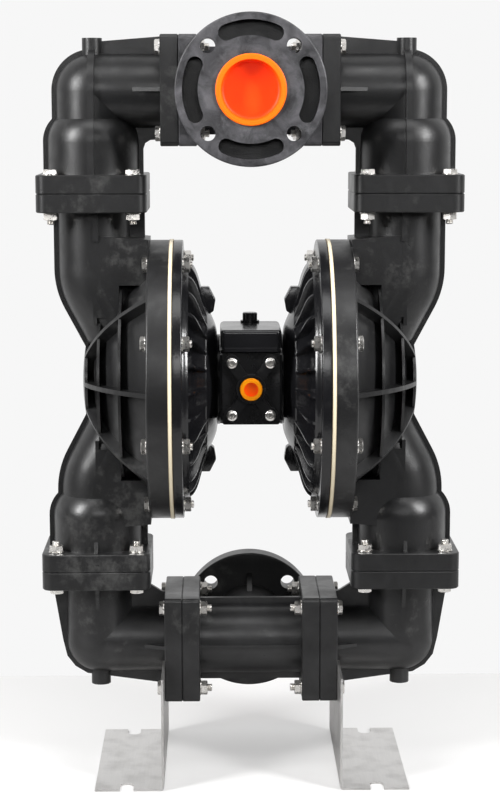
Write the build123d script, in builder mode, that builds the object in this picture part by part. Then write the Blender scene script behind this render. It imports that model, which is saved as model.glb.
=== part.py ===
"""Air operated double diaphragm pump with moulded housings and 3 inch flanged ports.

Millimetres. X runs across the pump from chamber to chamber, Y from the outlet side to the inlet side, and Z up.
The origin is on the floor, midway between the feet. Paired pieces are made on the +X side and mirrored.
"""

from build123d import *

import os
from math import cos, radians, sin, sqrt

# --- Layout ------------------------------------------------------------------------------------------------------
OUTLET_Z = 903.0  # axis of the outlet port and of the upper manifold
INLET_Z = 169.0  # axis of the inlet port and of the lower manifold
UPPER_JOINT_Z = 772.0  # face between the outlet elbows and the fluid covers
LOWER_JOINT_Z = 276.0  # face between the fluid covers and the inlet elbows
CHAMBER_Z = (UPPER_JOINT_Z + LOWER_JOINT_Z) / 2  # axis of the diaphragms and of their rod
VALVE_X = 204.5  # axis of the ball valves
MANIFOLD_JOINT_X = 91.5  # face between a manifold's tee and its elbows
PORT_FACE_Y = 130.0  # face of a port's flange

# --- Ports: 3 inch class 150 flanges -----------------------------------------------------------------------------
PORT_FLANGE_D = 190.5
PORT_FLANGE_T = 32.0
PORT_PCD = 152.4
PORT_HOLE_D = 19.0
PORT_HOLES = 4
PORT_MOUTH_DEPTH = 55.0
POCKET_WIDTH = 19.6  # arc pockets that lighten the flange between its holes
POCKET_HALF_ANGLE = 24.0
POCKET_DEPTH = 20.0

# --- Ducts and their square flanges ------------------------------------------------------------------------------
WALL = 9.5
EDGE = 1.2  # chamfer round the faces of the square flanges
OUTLET_PIPE_R = 47.5
INLET_PIPE_R = 44.0
CAGE_R = 59.5  # outside of a ball cage
CAGE_BARREL = 66.0  # straight height of a cage above its joint
CAGE_NECK = 95.0  # height above its joint where a cage has narrowed to its pipe
MANIFOLD_FLANGE = 141.0  # side of a manifold's square flange
MANIFOLD_FLANGE_T = 23.5
VALVE_FLANGE = 143.0  # side of a valve joint's square flange
VALVE_FLANGE_T = 24.0
FLANGE_CORNER_R = 14.0
MANIFOLD_CORNER_R = 6.0
MANIFOLD_BOLTS = 109.0  # spacing of the four bolts, both ways
VALVE_BOLTS = 106.0
FIN_T = 7.0  # parting fin round a moulded duct
FIN_PROUD = 6.0
BOSS_D = 26.0  # round boss at an elbow's corner
BOSS_PROUD = 20.0

# --- Ball valves -------------------------------------------------------------------------------------------------
BALL_R = 38.0
BALL_LIFT = 20.0
BALL_GAP = 0.3  # ball to its seat's edge at rest, and to its stops when lifted
SEAT_R = 56.5
SEAT_BORE_R = 31.0
SEAT_HALF_T = 8.0  # a seat reaches this far into both flanges of its joint
SEAT_BEVEL = 3.0
SEAT_FIT = 0.2
GUIDE_T = 8.0
GUIDE_GAP = 0.8

# --- Chambers ----------------------------------------------------------------------------------------------------
CHAMBER_R = 185.0
CLAMP_X = 103.0  # middle of the diaphragm's rim
BEAD_T = 5.0
BEAD_PROUD = 1.0
FLUID_FLANGE_T = 27.5
AIR_FLANGE_T = 12.5
CAVITY_R = 150.0
CHAMBER_BOLTS = 8
CHAMBER_BOLT_R = 170.0
RIB_T = 6.0  # radial ribs of the fluid cover
RING_T = 3.5  # ring ribs of the fluid cover
RIBS = 8
RIB_DEPTH = 14.0  # depth of the cells between the ribs
DUCT_LEAN = 28.0  # lean of the ducts where they run into the dome, in degrees
DUCT_BEND = 133.0  # height of that bend above or below the chamber's axis
DUCT_BEND_R = 60.0
DUCT_LENGTH = 100.0  # length of the leaning stretch, into the chamber
WEB_HALF = 47.0
AIR_FINS = 28
AIR_FIN_T = 3.0
NECK_R = 62.0
BLOCK_HALF_X = 40.0  # the air covers stand on the centre block's two faces

# --- Diaphragms and their rod ------------------------------------------------------------------------------------
STROKE = 15.0  # each way from the middle
MEMBRANE_T = 4.0
PLATE_R = 84.0
PLATE_GAP = 0.0
ROD_R = 15.0
ROD_STUD_R = 8.0
ROD_FIT = 0.04
INNER_PLATE_T = 13.0
OUTER_PLATE_T = 18.0

# --- Air end -----------------------------------------------------------------------------------------------------
BLOCK_HALF_Y = 88.0
BLOCK_BOTTOM = 47.0  # below the rod's axis
BLOCK_TOP = 48.5  # above the rod's axis
COVER_WIDTH = 74.0
COVER_HEIGHT = 93.4
COVER_T = 16.0
COVER_PLATE_T = 8.0
COVER_SCREW_X = 24.75
COVER_SCREW_Z = 34.0
AIR_BOSS_D = 38.0
AIR_THREAD_R = 12.06  # tapping size of a G 3/4 thread
AIR_MOUTH_R = 16.5  # plain mouth in front of that thread
AIR_MOUTH_DEPTH = 4.0
CHEST_HALF_X = 39.6
CHEST_FRONT = 100.0
CHEST_BACK = 18.0
CHEST_H = 23.0
CHEST_BASE_T = 4.5
BUTTON_R = 9.7
BUTTON_H = 13.0
BUTTON_TRAVEL = 5.0
BUTTON_FIT = 0.1
SPOOL_Z = 34.0  # above the rod's axis
SPOOL_R = 11.0
SPOOL_L = 62.0
PILOT_DROP = 32.0  # below the rod's axis
PILOT_R = 4.0
PILOT_L = 122.0
SLIDE_FIT = 0.05

# --- Feet --------------------------------------------------------------------------------------------------------
FOOT_T = 3.0
FOOT_LENGTH = 260.0
FOOT_OUT = 205.5
FOOT_TOP = 150.0
FOOT_BEND_R = 5.0
FOOT_SHIFT = -12.0  # the feet reach further towards the outlet side
FOOT_SLOT_W = 18.0
FOOT_SLOT_DEPTH = 25.0
FOOT_SLOT_X = 164.0

# --- Fasteners: M10 hexagon bolts --------------------------------------------------------------------------------
BOLT_R = 5.0
BOLT_FIT = 0.6  # bolt to its clearance hole
BOLT_HOLE_R = BOLT_R + BOLT_FIT
HEX_AF = 17.0
HEAD_T = 6.4
NUT_T = 8.0
STUD_END = 8.0  # thread that stands out of a nut

# --- Transit plugs -----------------------------------------------------------------------------------------------
PLUG_LIP_R = 44.5
PLUG_LIP_T = 4.0
PLUG_DISH_R = 37.6
PLUG_DEPTH = 22.0
PLUG_FIT = 0.4
AIR_PLUG_R = 14.5

# Places that follow from the sizes above
PORT_BORE_R = OUTLET_PIPE_R - WALL
PORT_MOUTH_R = PORT_BORE_R + 2.5  # a port widens at its mouth
FLUID_INNER_X = CLAMP_X + BEAD_T / 2
FLUID_OUTER_X = FLUID_INNER_X + FLUID_FLANGE_T
AIR_INNER_X = CLAMP_X - BEAD_T / 2
AIR_OUTER_X = AIR_INNER_X - AIR_FLANGE_T
BALL_REST = SEAT_HALF_T - SEAT_BEVEL + sqrt(BALL_R**2 - SEAT_BORE_R**2) + BALL_GAP  # ball's centre above its joint
BLOCK_TOP_Z = CHAMBER_Z + BLOCK_TOP
CHEST_Z = BLOCK_TOP_Z + CHEST_BASE_T
CHEST_TOP_Z = CHEST_Z + CHEST_H
COVER_FACE_Y = BLOCK_HALF_Y + COVER_T
ELBOW_FACE_X = MANIFOLD_JOINT_X + MANIFOLD_FLANGE_T
VALVE_AXIS = Axis((VALVE_X, 0, 0), (0, 0, 1))
ROD_AXIS = Axis((0, 0, CHAMBER_Z), (1, 0, 0))

os.makedirs("parts", exist_ok=True)


def write(piece, name):
    """Label a finished piece and write its STEP file."""
    piece.part.label = name
    export_step(piece.part, f"parts/{name}.step")


def write_pair(piece, name):
    """Write a piece of the +X side, and its mirror image."""
    write(piece, name + "_right")
    with BuildPart() as other:
        mirror(piece.part, about=Plane.YZ)
    write(other, name + "_left")


def bar(plane, centre, radius, length, mode=Mode.ADD):
    """A round bar that stands on a plane: a duct's wall, or its bore."""
    with BuildSketch(plane) as profile:
        with Locations(centre):
            Circle(radius)
    extrude(profile.sketch, amount=length, mode=mode)


def block(plane, centre, width, height, length, corner=0.0, mode=Mode.ADD):
    """A rectangular bar that stands on a plane, with rounded corners if it has a corner radius."""
    with BuildSketch(plane) as profile:
        with Locations(centre):
            if corner > 0:
                RectangleRounded(width, height, corner)
            else:
                Rectangle(width, height)
    extrude(profile.sketch, amount=length, mode=mode)


def square_flange(plane, centre, side, thickness, corner):
    """A square flange that stands on a plane, with a small chamfer round each of its faces."""
    way = 1 if thickness > 0 else -1
    block(plane.offset(way * EDGE), centre, side, side, thickness - 2 * way * EDGE, corner)
    for height, amount in ((way * EDGE, -way * EDGE), (thickness - way * EDGE, way * EDGE)):
        with BuildSketch(plane.offset(height)) as profile:
            with Locations(centre):
                RectangleRounded(side, side, corner)
        extrude(profile.sketch, amount=amount, taper=45)


def web(points, thickness, mode=Mode.ADD):
    """A flat web on the pump's own middle plane, from its outline in X and Z."""
    with BuildSketch(Plane.XZ) as profile:
        Polygon(*points, align=None)
    extrude(profile.sketch, amount=thickness / 2, both=True, mode=mode)


def bolt_holes(plane, centre, spacing, depth):
    """Four clearance holes at the corners of a square."""
    with BuildSketch(plane) as profile:
        with Locations(centre):
            with GridLocations(spacing, spacing, 2, 2):
                Circle(BOLT_HOLE_R)
    extrude(profile.sketch, amount=depth, mode=Mode.SUBTRACT)


def chamber_point(x, r):
    """A point of a chamber's profile: its place along the rod, and its radius."""
    return (x, CHAMBER_Z + r)


def chamber_turn(points, round_r=0.0, mode=Mode.ADD):
    """Turn a profile about the rod's axis. Its ends are joined straight to the axis."""
    outline = [chamber_point(x, r) for x, r in points]
    with BuildSketch(Plane.XZ) as profile:
        with BuildLine():
            if round_r > 0:
                FilletPolyline(*outline, radius=round_r)
            else:
                Polyline(*outline)
            Polyline(outline[-1], (outline[-1][0], CHAMBER_Z), (outline[0][0], CHAMBER_Z), outline[0])
        make_face()
    revolve(profile.sketch, axis=ROD_AXIS, mode=mode)


def ring_slot(radius, middle, half_angle, width):
    """The outline of a slot with round ends that follows a circle, centred on one direction."""
    inner = CenterArc((0, 0), radius - width / 2, middle - half_angle, 2 * half_angle)
    outer = CenterArc((0, 0), radius + width / 2, middle - half_angle, 2 * half_angle)
    for end, way in ((0, -1), (1, 1)):
        along = Vector(1, 0).rotate(Axis.Z, middle + way * half_angle)
        ThreePointArc(inner @ end, along * radius + along.rotate(Axis.Z, 90 * way) * (width / 2), outer @ end)


def cage(joint_z, cage_r, pipe_r, mode=Mode.ADD):
    """A ball cage: a barrel on a valve joint that narrows to the pipe above it."""
    barrel_z = joint_z + CAGE_BARREL
    neck_z = joint_z + CAGE_NECK
    with BuildSketch(Plane.XZ) as profile:
        with BuildLine():
            Polyline((VALVE_X, neck_z), (VALVE_X, joint_z), (VALVE_X + cage_r, joint_z), (VALVE_X + cage_r, barrel_z))
            TangentArc((VALVE_X + cage_r, barrel_z), (VALVE_X + pipe_r, neck_z), tangent=(0, 1))
            Line((VALVE_X + pipe_r, neck_z), (VALVE_X, neck_z))
        make_face()
    revolve(profile.sketch, axis=VALVE_AXIS, mode=mode)


def seat_recess(joint_z, into):
    """The recess for a valve's seat, in the flange on one side of its joint."""
    bar(Plane.XY.offset(joint_z), (VALVE_X, 0), SEAT_R + SEAT_FIT, into * SEAT_HALF_T, mode=Mode.SUBTRACT)


def ball_guides(joint_z):
    """Four guides inside a cage, that meet above the ball and stop it."""
    guide_r = BALL_R + GUIDE_GAP
    stop_r = 14.0
    stop_z = joint_z + BALL_REST + BALL_LIFT + sqrt(BALL_R**2 - stop_r**2) + BALL_GAP
    start_z = joint_z + SEAT_HALF_T + 4
    root_r = CAGE_R - WALL / 2
    stop_root_r = OUTLET_PIPE_R - WALL / 2
    outline = [
        (guide_r, start_z),
        (root_r, start_z),
        (root_r, joint_z + CAGE_BARREL),
        (stop_root_r, stop_z + GUIDE_T),
        (stop_r, stop_z + GUIDE_T),
        (stop_r, stop_z),
        (guide_r, stop_z),
    ]
    for turn in range(4):
        way = Vector(1, 0, 0).rotate(Axis.Z, 45 + 90 * turn)
        with BuildSketch(Plane(origin=(VALVE_X, 0, 0), x_dir=way, z_dir=way.cross(Vector(0, 0, 1)))) as profile:
            Polygon(*outline, align=None)
        extrude(profile.sketch, amount=GUIDE_T / 2, both=True)


def corner_duct(joint_z, turn_z, pipe_r, caged, extra, mode=Mode.ADD):
    """An elbow's duct: a leg on the valve's axis, a leg to the manifold, and a round corner."""
    low_z = min(joint_z, turn_z)
    bar(Plane.XY.offset(low_z), (VALVE_X, 0), pipe_r + extra, abs(turn_z - joint_z), mode)
    bar(Plane.YZ.offset(MANIFOLD_JOINT_X), (0, turn_z), pipe_r + extra, VALVE_X - MANIFOLD_JOINT_X, mode)
    with Locations((VALVE_X, 0, turn_z)):
        Sphere(pipe_r + extra, mode=mode)
    if caged:
        cage(joint_z, CAGE_R + extra, pipe_r + extra, mode)


# --- Outlet manifold and inlet manifold --------------------------------------------------------------------------
def tee(height, side):
    """A manifold's tee, with its port facing -Y (side -1) or +Y (side 1)."""
    port_plane = Plane(origin=(0, side * PORT_FACE_Y, height), x_dir=(1, 0, 0), z_dir=(0, side, 0))
    pipe_r = OUTLET_PIPE_R
    with BuildPart() as piece:
        bar(Plane.YZ.offset(-MANIFOLD_JOINT_X), (0, height), pipe_r, 2 * MANIFOLD_JOINT_X)
        # Parting fin along the top and the bottom, and a bead along both sides
        block(Plane.YZ.offset(-MANIFOLD_JOINT_X), (0, height), FIN_T, 2 * (pipe_r + FIN_PROUD + 3), 2 * MANIFOLD_JOINT_X)
        block(Plane.YZ.offset(-MANIFOLD_JOINT_X), (0, height), 2 * (pipe_r + 1.5), 4, 2 * MANIFOLD_JOINT_X)
        bar(port_plane, (0, 0), pipe_r + 3, -PORT_FACE_Y)
        bar(port_plane, (0, 0), PORT_FLANGE_D / 2, -PORT_FLANGE_T)
        for way in (-1, 1):
            flange_plane = Plane.YZ.offset(way * MANIFOLD_JOINT_X)
            square_flange(flange_plane, (0, height), MANIFOLD_FLANGE, -way * MANIFOLD_FLANGE_T, MANIFOLD_CORNER_R)
        # Gussets from the neck to the back of the port's flange
        neck_y = MANIFOLD_FLANGE / 2 - 12
        outward = Vector(0, side, 0)
        for turn in range(4):
            radial = Vector(0, 0, 1).rotate(Axis.Y, 90 * turn)
            with BuildSketch(Plane(origin=(0, 0, height), x_dir=outward, z_dir=outward.cross(radial))):
                Polygon(
                    (neck_y, pipe_r - 2),
                    (PORT_FACE_Y - PORT_FLANGE_T + 1, pipe_r - 2),
                    (PORT_FACE_Y - PORT_FLANGE_T + 1, PORT_PCD / 2 - PORT_HOLE_D / 2),
                    (neck_y, pipe_r + 3),
                    align=None,
                )
            extrude(amount=FIN_T / 2, both=True)
        fillet(piece.edges().filter_by(GeomType.CIRCLE).filter_by(lambda e: abs(e.radius - PORT_FLANGE_D / 2) < 0.01), 2)
        # Bolt holes and lightening pockets of the port
        with BuildSketch(port_plane):
            with PolarLocations(PORT_PCD / 2, PORT_HOLES, start_angle=45):
                Circle(PORT_HOLE_D / 2)
        extrude(amount=-PORT_FLANGE_T, mode=Mode.SUBTRACT)
        with BuildSketch(port_plane):
            for turn in range(PORT_HOLES):
                with BuildLine():
                    ring_slot(PORT_PCD / 2, 90 * turn, POCKET_HALF_ANGLE, POCKET_WIDTH)
                make_face()
        extrude(amount=-POCKET_DEPTH, mode=Mode.SUBTRACT)
        # Ducts
        bar(Plane.YZ.offset(-MANIFOLD_JOINT_X), (0, height), PORT_BORE_R, 2 * MANIFOLD_JOINT_X, Mode.SUBTRACT)
        bar(port_plane, (0, 0), PORT_BORE_R, -PORT_FACE_Y, Mode.SUBTRACT)
        bar(port_plane, (0, 0), PORT_MOUTH_R, -PORT_MOUTH_DEPTH, Mode.SUBTRACT)
        for way in (-1, 1):
            bolt_holes(Plane.YZ.offset(way * MANIFOLD_JOINT_X), (0, height), MANIFOLD_BOLTS, -way * MANIFOLD_FLANGE_T)
    return piece


outlet_manifold = tee(OUTLET_Z, -1)
write(outlet_manifold, "outlet_manifold")
inlet_manifold = tee(INLET_Z, 1)
write(inlet_manifold, "inlet_manifold")


# --- Elbows ------------------------------------------------------------------------------------------------------
SIDE_RIB_T = 5.0  # short ribs that brace an elbow's flanges
SIDE_RIB_L = 34.0

with BuildPart() as outlet_elbow:
    # Parting fins: a thin slice, both ways, of a slightly larger duct
    corner_duct(UPPER_JOINT_Z, OUTLET_Z, OUTLET_PIPE_R, True, FIN_PROUD)
    with BuildSketch(Plane.XY.offset(UPPER_JOINT_Z)):
        Rectangle(4 * VALVE_X, FIN_T)
        with Locations((VALVE_X, 0)):
            Rectangle(FIN_T + 1.8, 4 * CAGE_R)
    extrude(amount=OUTLET_Z - UPPER_JOINT_Z + 2 * OUTLET_PIPE_R, mode=Mode.INTERSECT)
    corner_duct(UPPER_JOINT_Z, OUTLET_Z, OUTLET_PIPE_R, True, 0)
    square_flange(Plane.XY.offset(UPPER_JOINT_Z), (VALVE_X, 0), VALVE_FLANGE, VALVE_FLANGE_T, FLANGE_CORNER_R)
    square_flange(Plane.YZ.offset(MANIFOLD_JOINT_X), (0, OUTLET_Z), MANIFOLD_FLANGE, MANIFOLD_FLANGE_T, MANIFOLD_CORNER_R)
    bar(Plane.XY.offset(OUTLET_Z + OUTLET_PIPE_R - BOSS_PROUD), (VALVE_X, 0), BOSS_D / 2, 2 * BOSS_PROUD)
    # Webs: over the top from the boss to the flange, and in the inner corner
    web(
        [
            (ELBOW_FACE_X, OUTLET_Z),
            (VALVE_X, OUTLET_Z),
            (VALVE_X, OUTLET_Z + OUTLET_PIPE_R + BOSS_PROUD - 5),
            (ELBOW_FACE_X, OUTLET_Z + MANIFOLD_FLANGE / 2 - 1),
        ],
        FIN_T,
    )
    inner_x = VALVE_X - CAGE_R - FIN_PROUD
    inner_z = OUTLET_Z - MANIFOLD_FLANGE / 2 + 8
    web(
        [
            (ELBOW_FACE_X, OUTLET_Z),
            (ELBOW_FACE_X, inner_z),
            (inner_x - 9, inner_z - 1),
            (inner_x - 2.5, inner_z - 5),
            (inner_x, inner_z - 12),
            (inner_x, UPPER_JOINT_Z + VALVE_FLANGE_T - 1),
            (VALVE_X, UPPER_JOINT_Z + VALVE_FLANGE_T - 1),
            (VALVE_X, OUTLET_Z),
        ],
        FIN_T,
    )
    with BuildSketch(Plane.XY.offset(OUTLET_Z + 1.5)):
        Polygon(
            (ELBOW_FACE_X - 1, MANIFOLD_BOLTS / 2 + 6),
            (ELBOW_FACE_X + SIDE_RIB_L + 10, OUTLET_PIPE_R - 3),
            (ELBOW_FACE_X + SIDE_RIB_L + 10, 3 - OUTLET_PIPE_R),
            (ELBOW_FACE_X - 1, -MANIFOLD_BOLTS / 2 - 6),
            align=None,
        )
    extrude(amount=SIDE_RIB_T / 2, both=True)
    corner_duct(UPPER_JOINT_Z, OUTLET_Z, OUTLET_PIPE_R, True, -WALL, Mode.SUBTRACT)
    ball_guides(UPPER_JOINT_Z)
    seat_recess(UPPER_JOINT_Z, 1)
    bolt_holes(Plane.XY.offset(UPPER_JOINT_Z), (VALVE_X, 0), VALVE_BOLTS, VALVE_FLANGE_T)
    bolt_holes(Plane.YZ.offset(MANIFOLD_JOINT_X), (0, OUTLET_Z), MANIFOLD_BOLTS, MANIFOLD_FLANGE_T)
write_pair(outlet_elbow, "outlet_elbow")

with BuildPart() as inlet_elbow:
    corner_duct(LOWER_JOINT_Z, INLET_Z, INLET_PIPE_R, False, 0)
    square_flange(Plane.XY.offset(LOWER_JOINT_Z), (VALVE_X, 0), VALVE_FLANGE, -VALVE_FLANGE_T, FLANGE_CORNER_R)
    square_flange(Plane.YZ.offset(MANIFOLD_JOINT_X), (0, INLET_Z), MANIFOLD_FLANGE, MANIFOLD_FLANGE_T, MANIFOLD_CORNER_R)
    bar(Plane.XY.offset(INLET_Z - INLET_PIPE_R - BOSS_PROUD + 2), (VALVE_X - 1, 0), BOSS_D / 2, 2 * BOSS_PROUD)
    # Outer fin, from the valve's flange round the corner to the boss, then along to the manifold's flange
    flange_z = LOWER_JOINT_Z - VALVE_FLANGE_T
    foot_x = ELBOW_FACE_X + FOOT_T + 0.5
    web(
        [
            (VALVE_X, flange_z + 1),
            (VALVE_X + VALVE_FLANGE / 2 - 8, flange_z + 1),
            (VALVE_X + INLET_PIPE_R + FIN_PROUD, INLET_Z),
            (VALVE_X + 44.5, INLET_Z - 23.5),
            (VALVE_X + 33.5, INLET_Z - 38),
            (VALVE_X + 17, INLET_Z - 48),
            (VALVE_X, INLET_Z - INLET_PIPE_R - FIN_PROUD),
            (foot_x, INLET_Z - INLET_PIPE_R - FIN_PROUD - 12),
            (foot_x, INLET_Z),
            (VALVE_X, INLET_Z),
        ],
        FIN_T,
    )
    # Inner web, between the two flanges
    web(
        [
            (VALVE_X, flange_z + 1),
            (VALVE_X - VALVE_FLANGE / 2 + 1, flange_z + 1),
            (VALVE_X - VALVE_FLANGE / 2 + 3, flange_z - 7),
            (ELBOW_FACE_X + 6, INLET_Z + MANIFOLD_FLANGE / 2 - 4),
            (ELBOW_FACE_X - 1, INLET_Z + MANIFOLD_FLANGE / 2 - 6),
            (ELBOW_FACE_X - 1, INLET_Z),
            (VALVE_X, INLET_Z),
        ],
        FIN_T,
    )
    # Short braces under the valve's flange and beside the manifold's
    with BuildSketch(Plane.YZ.offset(VALVE_X - SIDE_RIB_T / 2)):
        Polygon(
            (INLET_PIPE_R + 9, flange_z + 1),
            (INLET_PIPE_R - 3, flange_z - 42),
            (3 - INLET_PIPE_R, flange_z - 42),
            (-INLET_PIPE_R - 9, flange_z + 1),
            align=None,
        )
    extrude(amount=SIDE_RIB_T)
    with BuildSketch(Plane.XY.offset(INLET_Z)):
        Polygon(
            (ELBOW_FACE_X - 1, MANIFOLD_BOLTS / 2 + 2),
            (ELBOW_FACE_X + SIDE_RIB_L, INLET_PIPE_R - 3),
            (ELBOW_FACE_X + SIDE_RIB_L, 3 - INLET_PIPE_R),
            (ELBOW_FACE_X - 1, -MANIFOLD_BOLTS / 2 - 2),
            align=None,
        )
    extrude(amount=SIDE_RIB_T / 2, both=True)
    corner_duct(LOWER_JOINT_Z, INLET_Z, INLET_PIPE_R, False, -WALL, Mode.SUBTRACT)
    seat_recess(LOWER_JOINT_Z, -1)
    bolt_holes(Plane.XY.offset(LOWER_JOINT_Z), (VALVE_X, 0), VALVE_BOLTS, -VALVE_FLANGE_T)
    bolt_holes(Plane.YZ.offset(MANIFOLD_JOINT_X), (0, INLET_Z), MANIFOLD_BOLTS, MANIFOLD_FLANGE_T)
write_pair(inlet_elbow, "inlet_elbow")


# --- Fluid covers ------------------------------------------------------------------------------------------------
# Profile of the dome over its ribs: place along the rod, and radius
RIB_PROFILE = [
    (FLUID_OUTER_X, CHAMBER_R - 20),
    (FLUID_OUTER_X + 37, CHAMBER_R - 54),
    (FLUID_OUTER_X + 66, CHAMBER_R - 94),
    (FLUID_OUTER_X + 84, CHAMBER_R - 134),
]
CAP_X = RIB_PROFILE[-1][0]
# A radial rib's crest follows a smooth curve through that profile, in short straight steps
rib_curve = Spline(*RIB_PROFILE)
RIB_CREST = [tuple(rib_curve @ (step / 10))[:2] for step in range(11)]


def fluid_ducts(extra, mode=Mode.ADD):
    """The upright ducts of a fluid cover, each leaning in to the dome at its end."""
    radius = OUTLET_PIPE_R + extra
    for side, joint_z in ((1, UPPER_JOINT_Z), (-1, LOWER_JOINT_Z)):
        bend_z = CHAMBER_Z + side * DUCT_BEND
        end_x = VALVE_X - DUCT_LENGTH * sin(radians(DUCT_LEAN))
        end_z = bend_z - side * DUCT_LENGTH * cos(radians(DUCT_LEAN))
        with BuildLine(Plane.XZ) as path:
            FilletPolyline((VALVE_X, joint_z), (VALVE_X, bend_z), (end_x, end_z), radius=DUCT_BEND_R)
        with BuildSketch(Plane(origin=(VALVE_X, 0, joint_z), x_dir=(1, 0, 0), z_dir=(0, 0, -side))) as profile:
            Circle(radius)
        sweep(profile.sketch, path=path.line, mode=mode)
    cage(LOWER_JOINT_Z, CAGE_R + extra, radius, mode)


with BuildPart() as fluid_cover:
    # Parting fins of the two ducts
    fluid_ducts(FIN_PROUD)
    with BuildSketch(Plane.XY.offset(LOWER_JOINT_Z)):
        Rectangle(4 * VALVE_X, FIN_T)
    extrude(amount=UPPER_JOINT_Z - LOWER_JOINT_Z, mode=Mode.INTERSECT)
    fluid_ducts(0)
    # Clamping flange and dome, with ring ribs and radial ribs
    bar(Plane.YZ.offset(FLUID_INNER_X), (0, CHAMBER_Z), CHAMBER_R, FLUID_FLANGE_T)
    fillet(fluid_cover.edges().filter_by(GeomType.CIRCLE).filter_by(
        lambda e: abs(e.radius - CHAMBER_R) < 0.01 and e.center().X > FLUID_OUTER_X - 1), 3)
    chamber_turn(
        [
            (FLUID_INNER_X, RIB_PROFILE[0][1]),
            (FLUID_OUTER_X, RIB_PROFILE[0][1] - RIB_DEPTH - 4),
            (RIB_PROFILE[1][0] - 10.5, RIB_PROFILE[1][1] - 9.5),
            (RIB_PROFILE[2][0] - 12, RIB_PROFILE[2][1] - 7),
            (CAP_X - 12, RIB_PROFILE[3][1] - 7),
            (CAP_X - 7, 6),
        ],
        round_r=5,
    )
    for x, r in RIB_PROFILE[1:]:
        bar(Plane.YZ.offset(x), (0, CHAMBER_Z), r, -RING_T)
    with BuildSketch(Plane.XZ):
        with BuildLine():
            cap_edge = (CAP_X, CHAMBER_Z + RIB_PROFILE[3][1])
            cap_top = (CAP_X + 4.5, CHAMBER_Z)
            TangentArc(cap_top, cap_edge, tangent=(0, 1))
            Polyline(cap_edge, (CAP_X - RING_T, CHAMBER_Z + RIB_PROFILE[3][1]), (CAP_X - RING_T, CHAMBER_Z), cap_top)
        make_face()
    revolve(axis=ROD_AXIS)
    for turn in range(RIBS):
        way = Vector(0, -1, 0).rotate(Axis.X, 360 / RIBS * turn)
        with BuildSketch(Plane(origin=(0, 0, CHAMBER_Z), x_dir=(1, 0, 0), z_dir=Vector(1, 0, 0).cross(way))):
            Polygon((FLUID_INNER_X, 0), (FLUID_INNER_X, RIB_PROFILE[0][1]), *RIB_CREST, (CAP_X, 0), align=None)
        extrude(amount=RIB_T / 2, both=True)
    # Webs between the ducts and the clamping flange, stepped down to the ring ribs
    for side in (1, -1):
        steps = [
            (FLUID_OUTER_X - 1, 188),
            (VALVE_X, 194),
            (VALVE_X, 76),
            (RIB_PROFILE[2][0] + 1, 76),
            (RIB_PROFILE[2][0] + 1, RIB_PROFILE[2][1] - 4),
            (RIB_PROFILE[1][0] + 1, RIB_PROFILE[2][1] - 4),
            (RIB_PROFILE[1][0] + 1, RIB_PROFILE[1][1] - 2),
            (FLUID_OUTER_X - 1, RIB_PROFILE[1][1] - 2),
        ]
        web([(x, CHAMBER_Z + side * h) for x, h in steps], 2 * WEB_HALF)
        # Fin along the inner side of the duct, from the web to the valve's flange
        joint_z = UPPER_JOINT_Z if side > 0 else LOWER_JOINT_Z
        web(
            [
                (VALVE_X, CHAMBER_Z + side * 180),
                (VALVE_X - CAGE_R - FIN_PROUD - 1, CHAMBER_Z + side * 180),
                (VALVE_X - CAGE_R - FIN_PROUD - 1, joint_z - side * 1),
                (VALVE_X, joint_z - side * 1),
            ],
            FIN_T,
        )
    # Rib up the front and the back of the upper duct, and short braces over the lower flange
    block(Plane.XY.offset(CHAMBER_Z + 186), (VALVE_X - 4, 0), FIN_T, 2 * (OUTLET_PIPE_R + 2), UPPER_JOINT_Z - CHAMBER_Z - 186)
    with BuildSketch(Plane.YZ.offset(VALVE_X - SIDE_RIB_T / 2)):
        Polygon(
            (CAGE_R + 4, LOWER_JOINT_Z + VALVE_FLANGE_T - 1),
            (CAGE_R - 3, LOWER_JOINT_Z + VALVE_FLANGE_T + 26),
            (3 - CAGE_R, LOWER_JOINT_Z + VALVE_FLANGE_T + 26),
            (-CAGE_R - 4, LOWER_JOINT_Z + VALVE_FLANGE_T - 1),
            align=None,
        )
    extrude(amount=SIDE_RIB_T)
    square_flange(Plane.XY.offset(UPPER_JOINT_Z), (VALVE_X, 0), VALVE_FLANGE, -VALVE_FLANGE_T, FLANGE_CORNER_R)
    square_flange(Plane.XY.offset(LOWER_JOINT_Z), (VALVE_X, 0), VALVE_FLANGE, VALVE_FLANGE_T, FLANGE_CORNER_R)
    # Fluid chamber and ducts
    chamber_turn(
        [
            (FLUID_INNER_X, CAVITY_R),
            (FLUID_INNER_X + 12, CAVITY_R - 10),
            (FLUID_INNER_X + 45, CAVITY_R - 42),
            (FLUID_INNER_X + 71, CAVITY_R - 76),
            (FLUID_INNER_X + 84, CAVITY_R - 110),
            (FLUID_INNER_X + 88, 6),
        ],
        round_r=5,
        mode=Mode.SUBTRACT,
    )
    fluid_ducts(-WALL, Mode.SUBTRACT)
    ball_guides(LOWER_JOINT_Z)
    seat_recess(UPPER_JOINT_Z, -1)
    seat_recess(LOWER_JOINT_Z, 1)
    bolt_holes(Plane.XY.offset(UPPER_JOINT_Z), (VALVE_X, 0), VALVE_BOLTS, -VALVE_FLANGE_T)
    bolt_holes(Plane.XY.offset(LOWER_JOINT_Z), (VALVE_X, 0), VALVE_BOLTS, VALVE_FLANGE_T)
    with BuildSketch(Plane.YZ.offset(FLUID_INNER_X)):
        with Locations((0, CHAMBER_Z)):
            with PolarLocations(CHAMBER_BOLT_R, CHAMBER_BOLTS, start_angle=180 / CHAMBER_BOLTS):
                Circle(BOLT_HOLE_R)
    extrude(amount=FLUID_FLANGE_T, mode=Mode.SUBTRACT)
write_pair(fluid_cover, "fluid_cover")


# --- Air covers --------------------------------------------------------------------------------------------------
BELL_WALL = 18.0  # the bell's back wall, against the centre block
COVER_SCREW_R = 51.0
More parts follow.
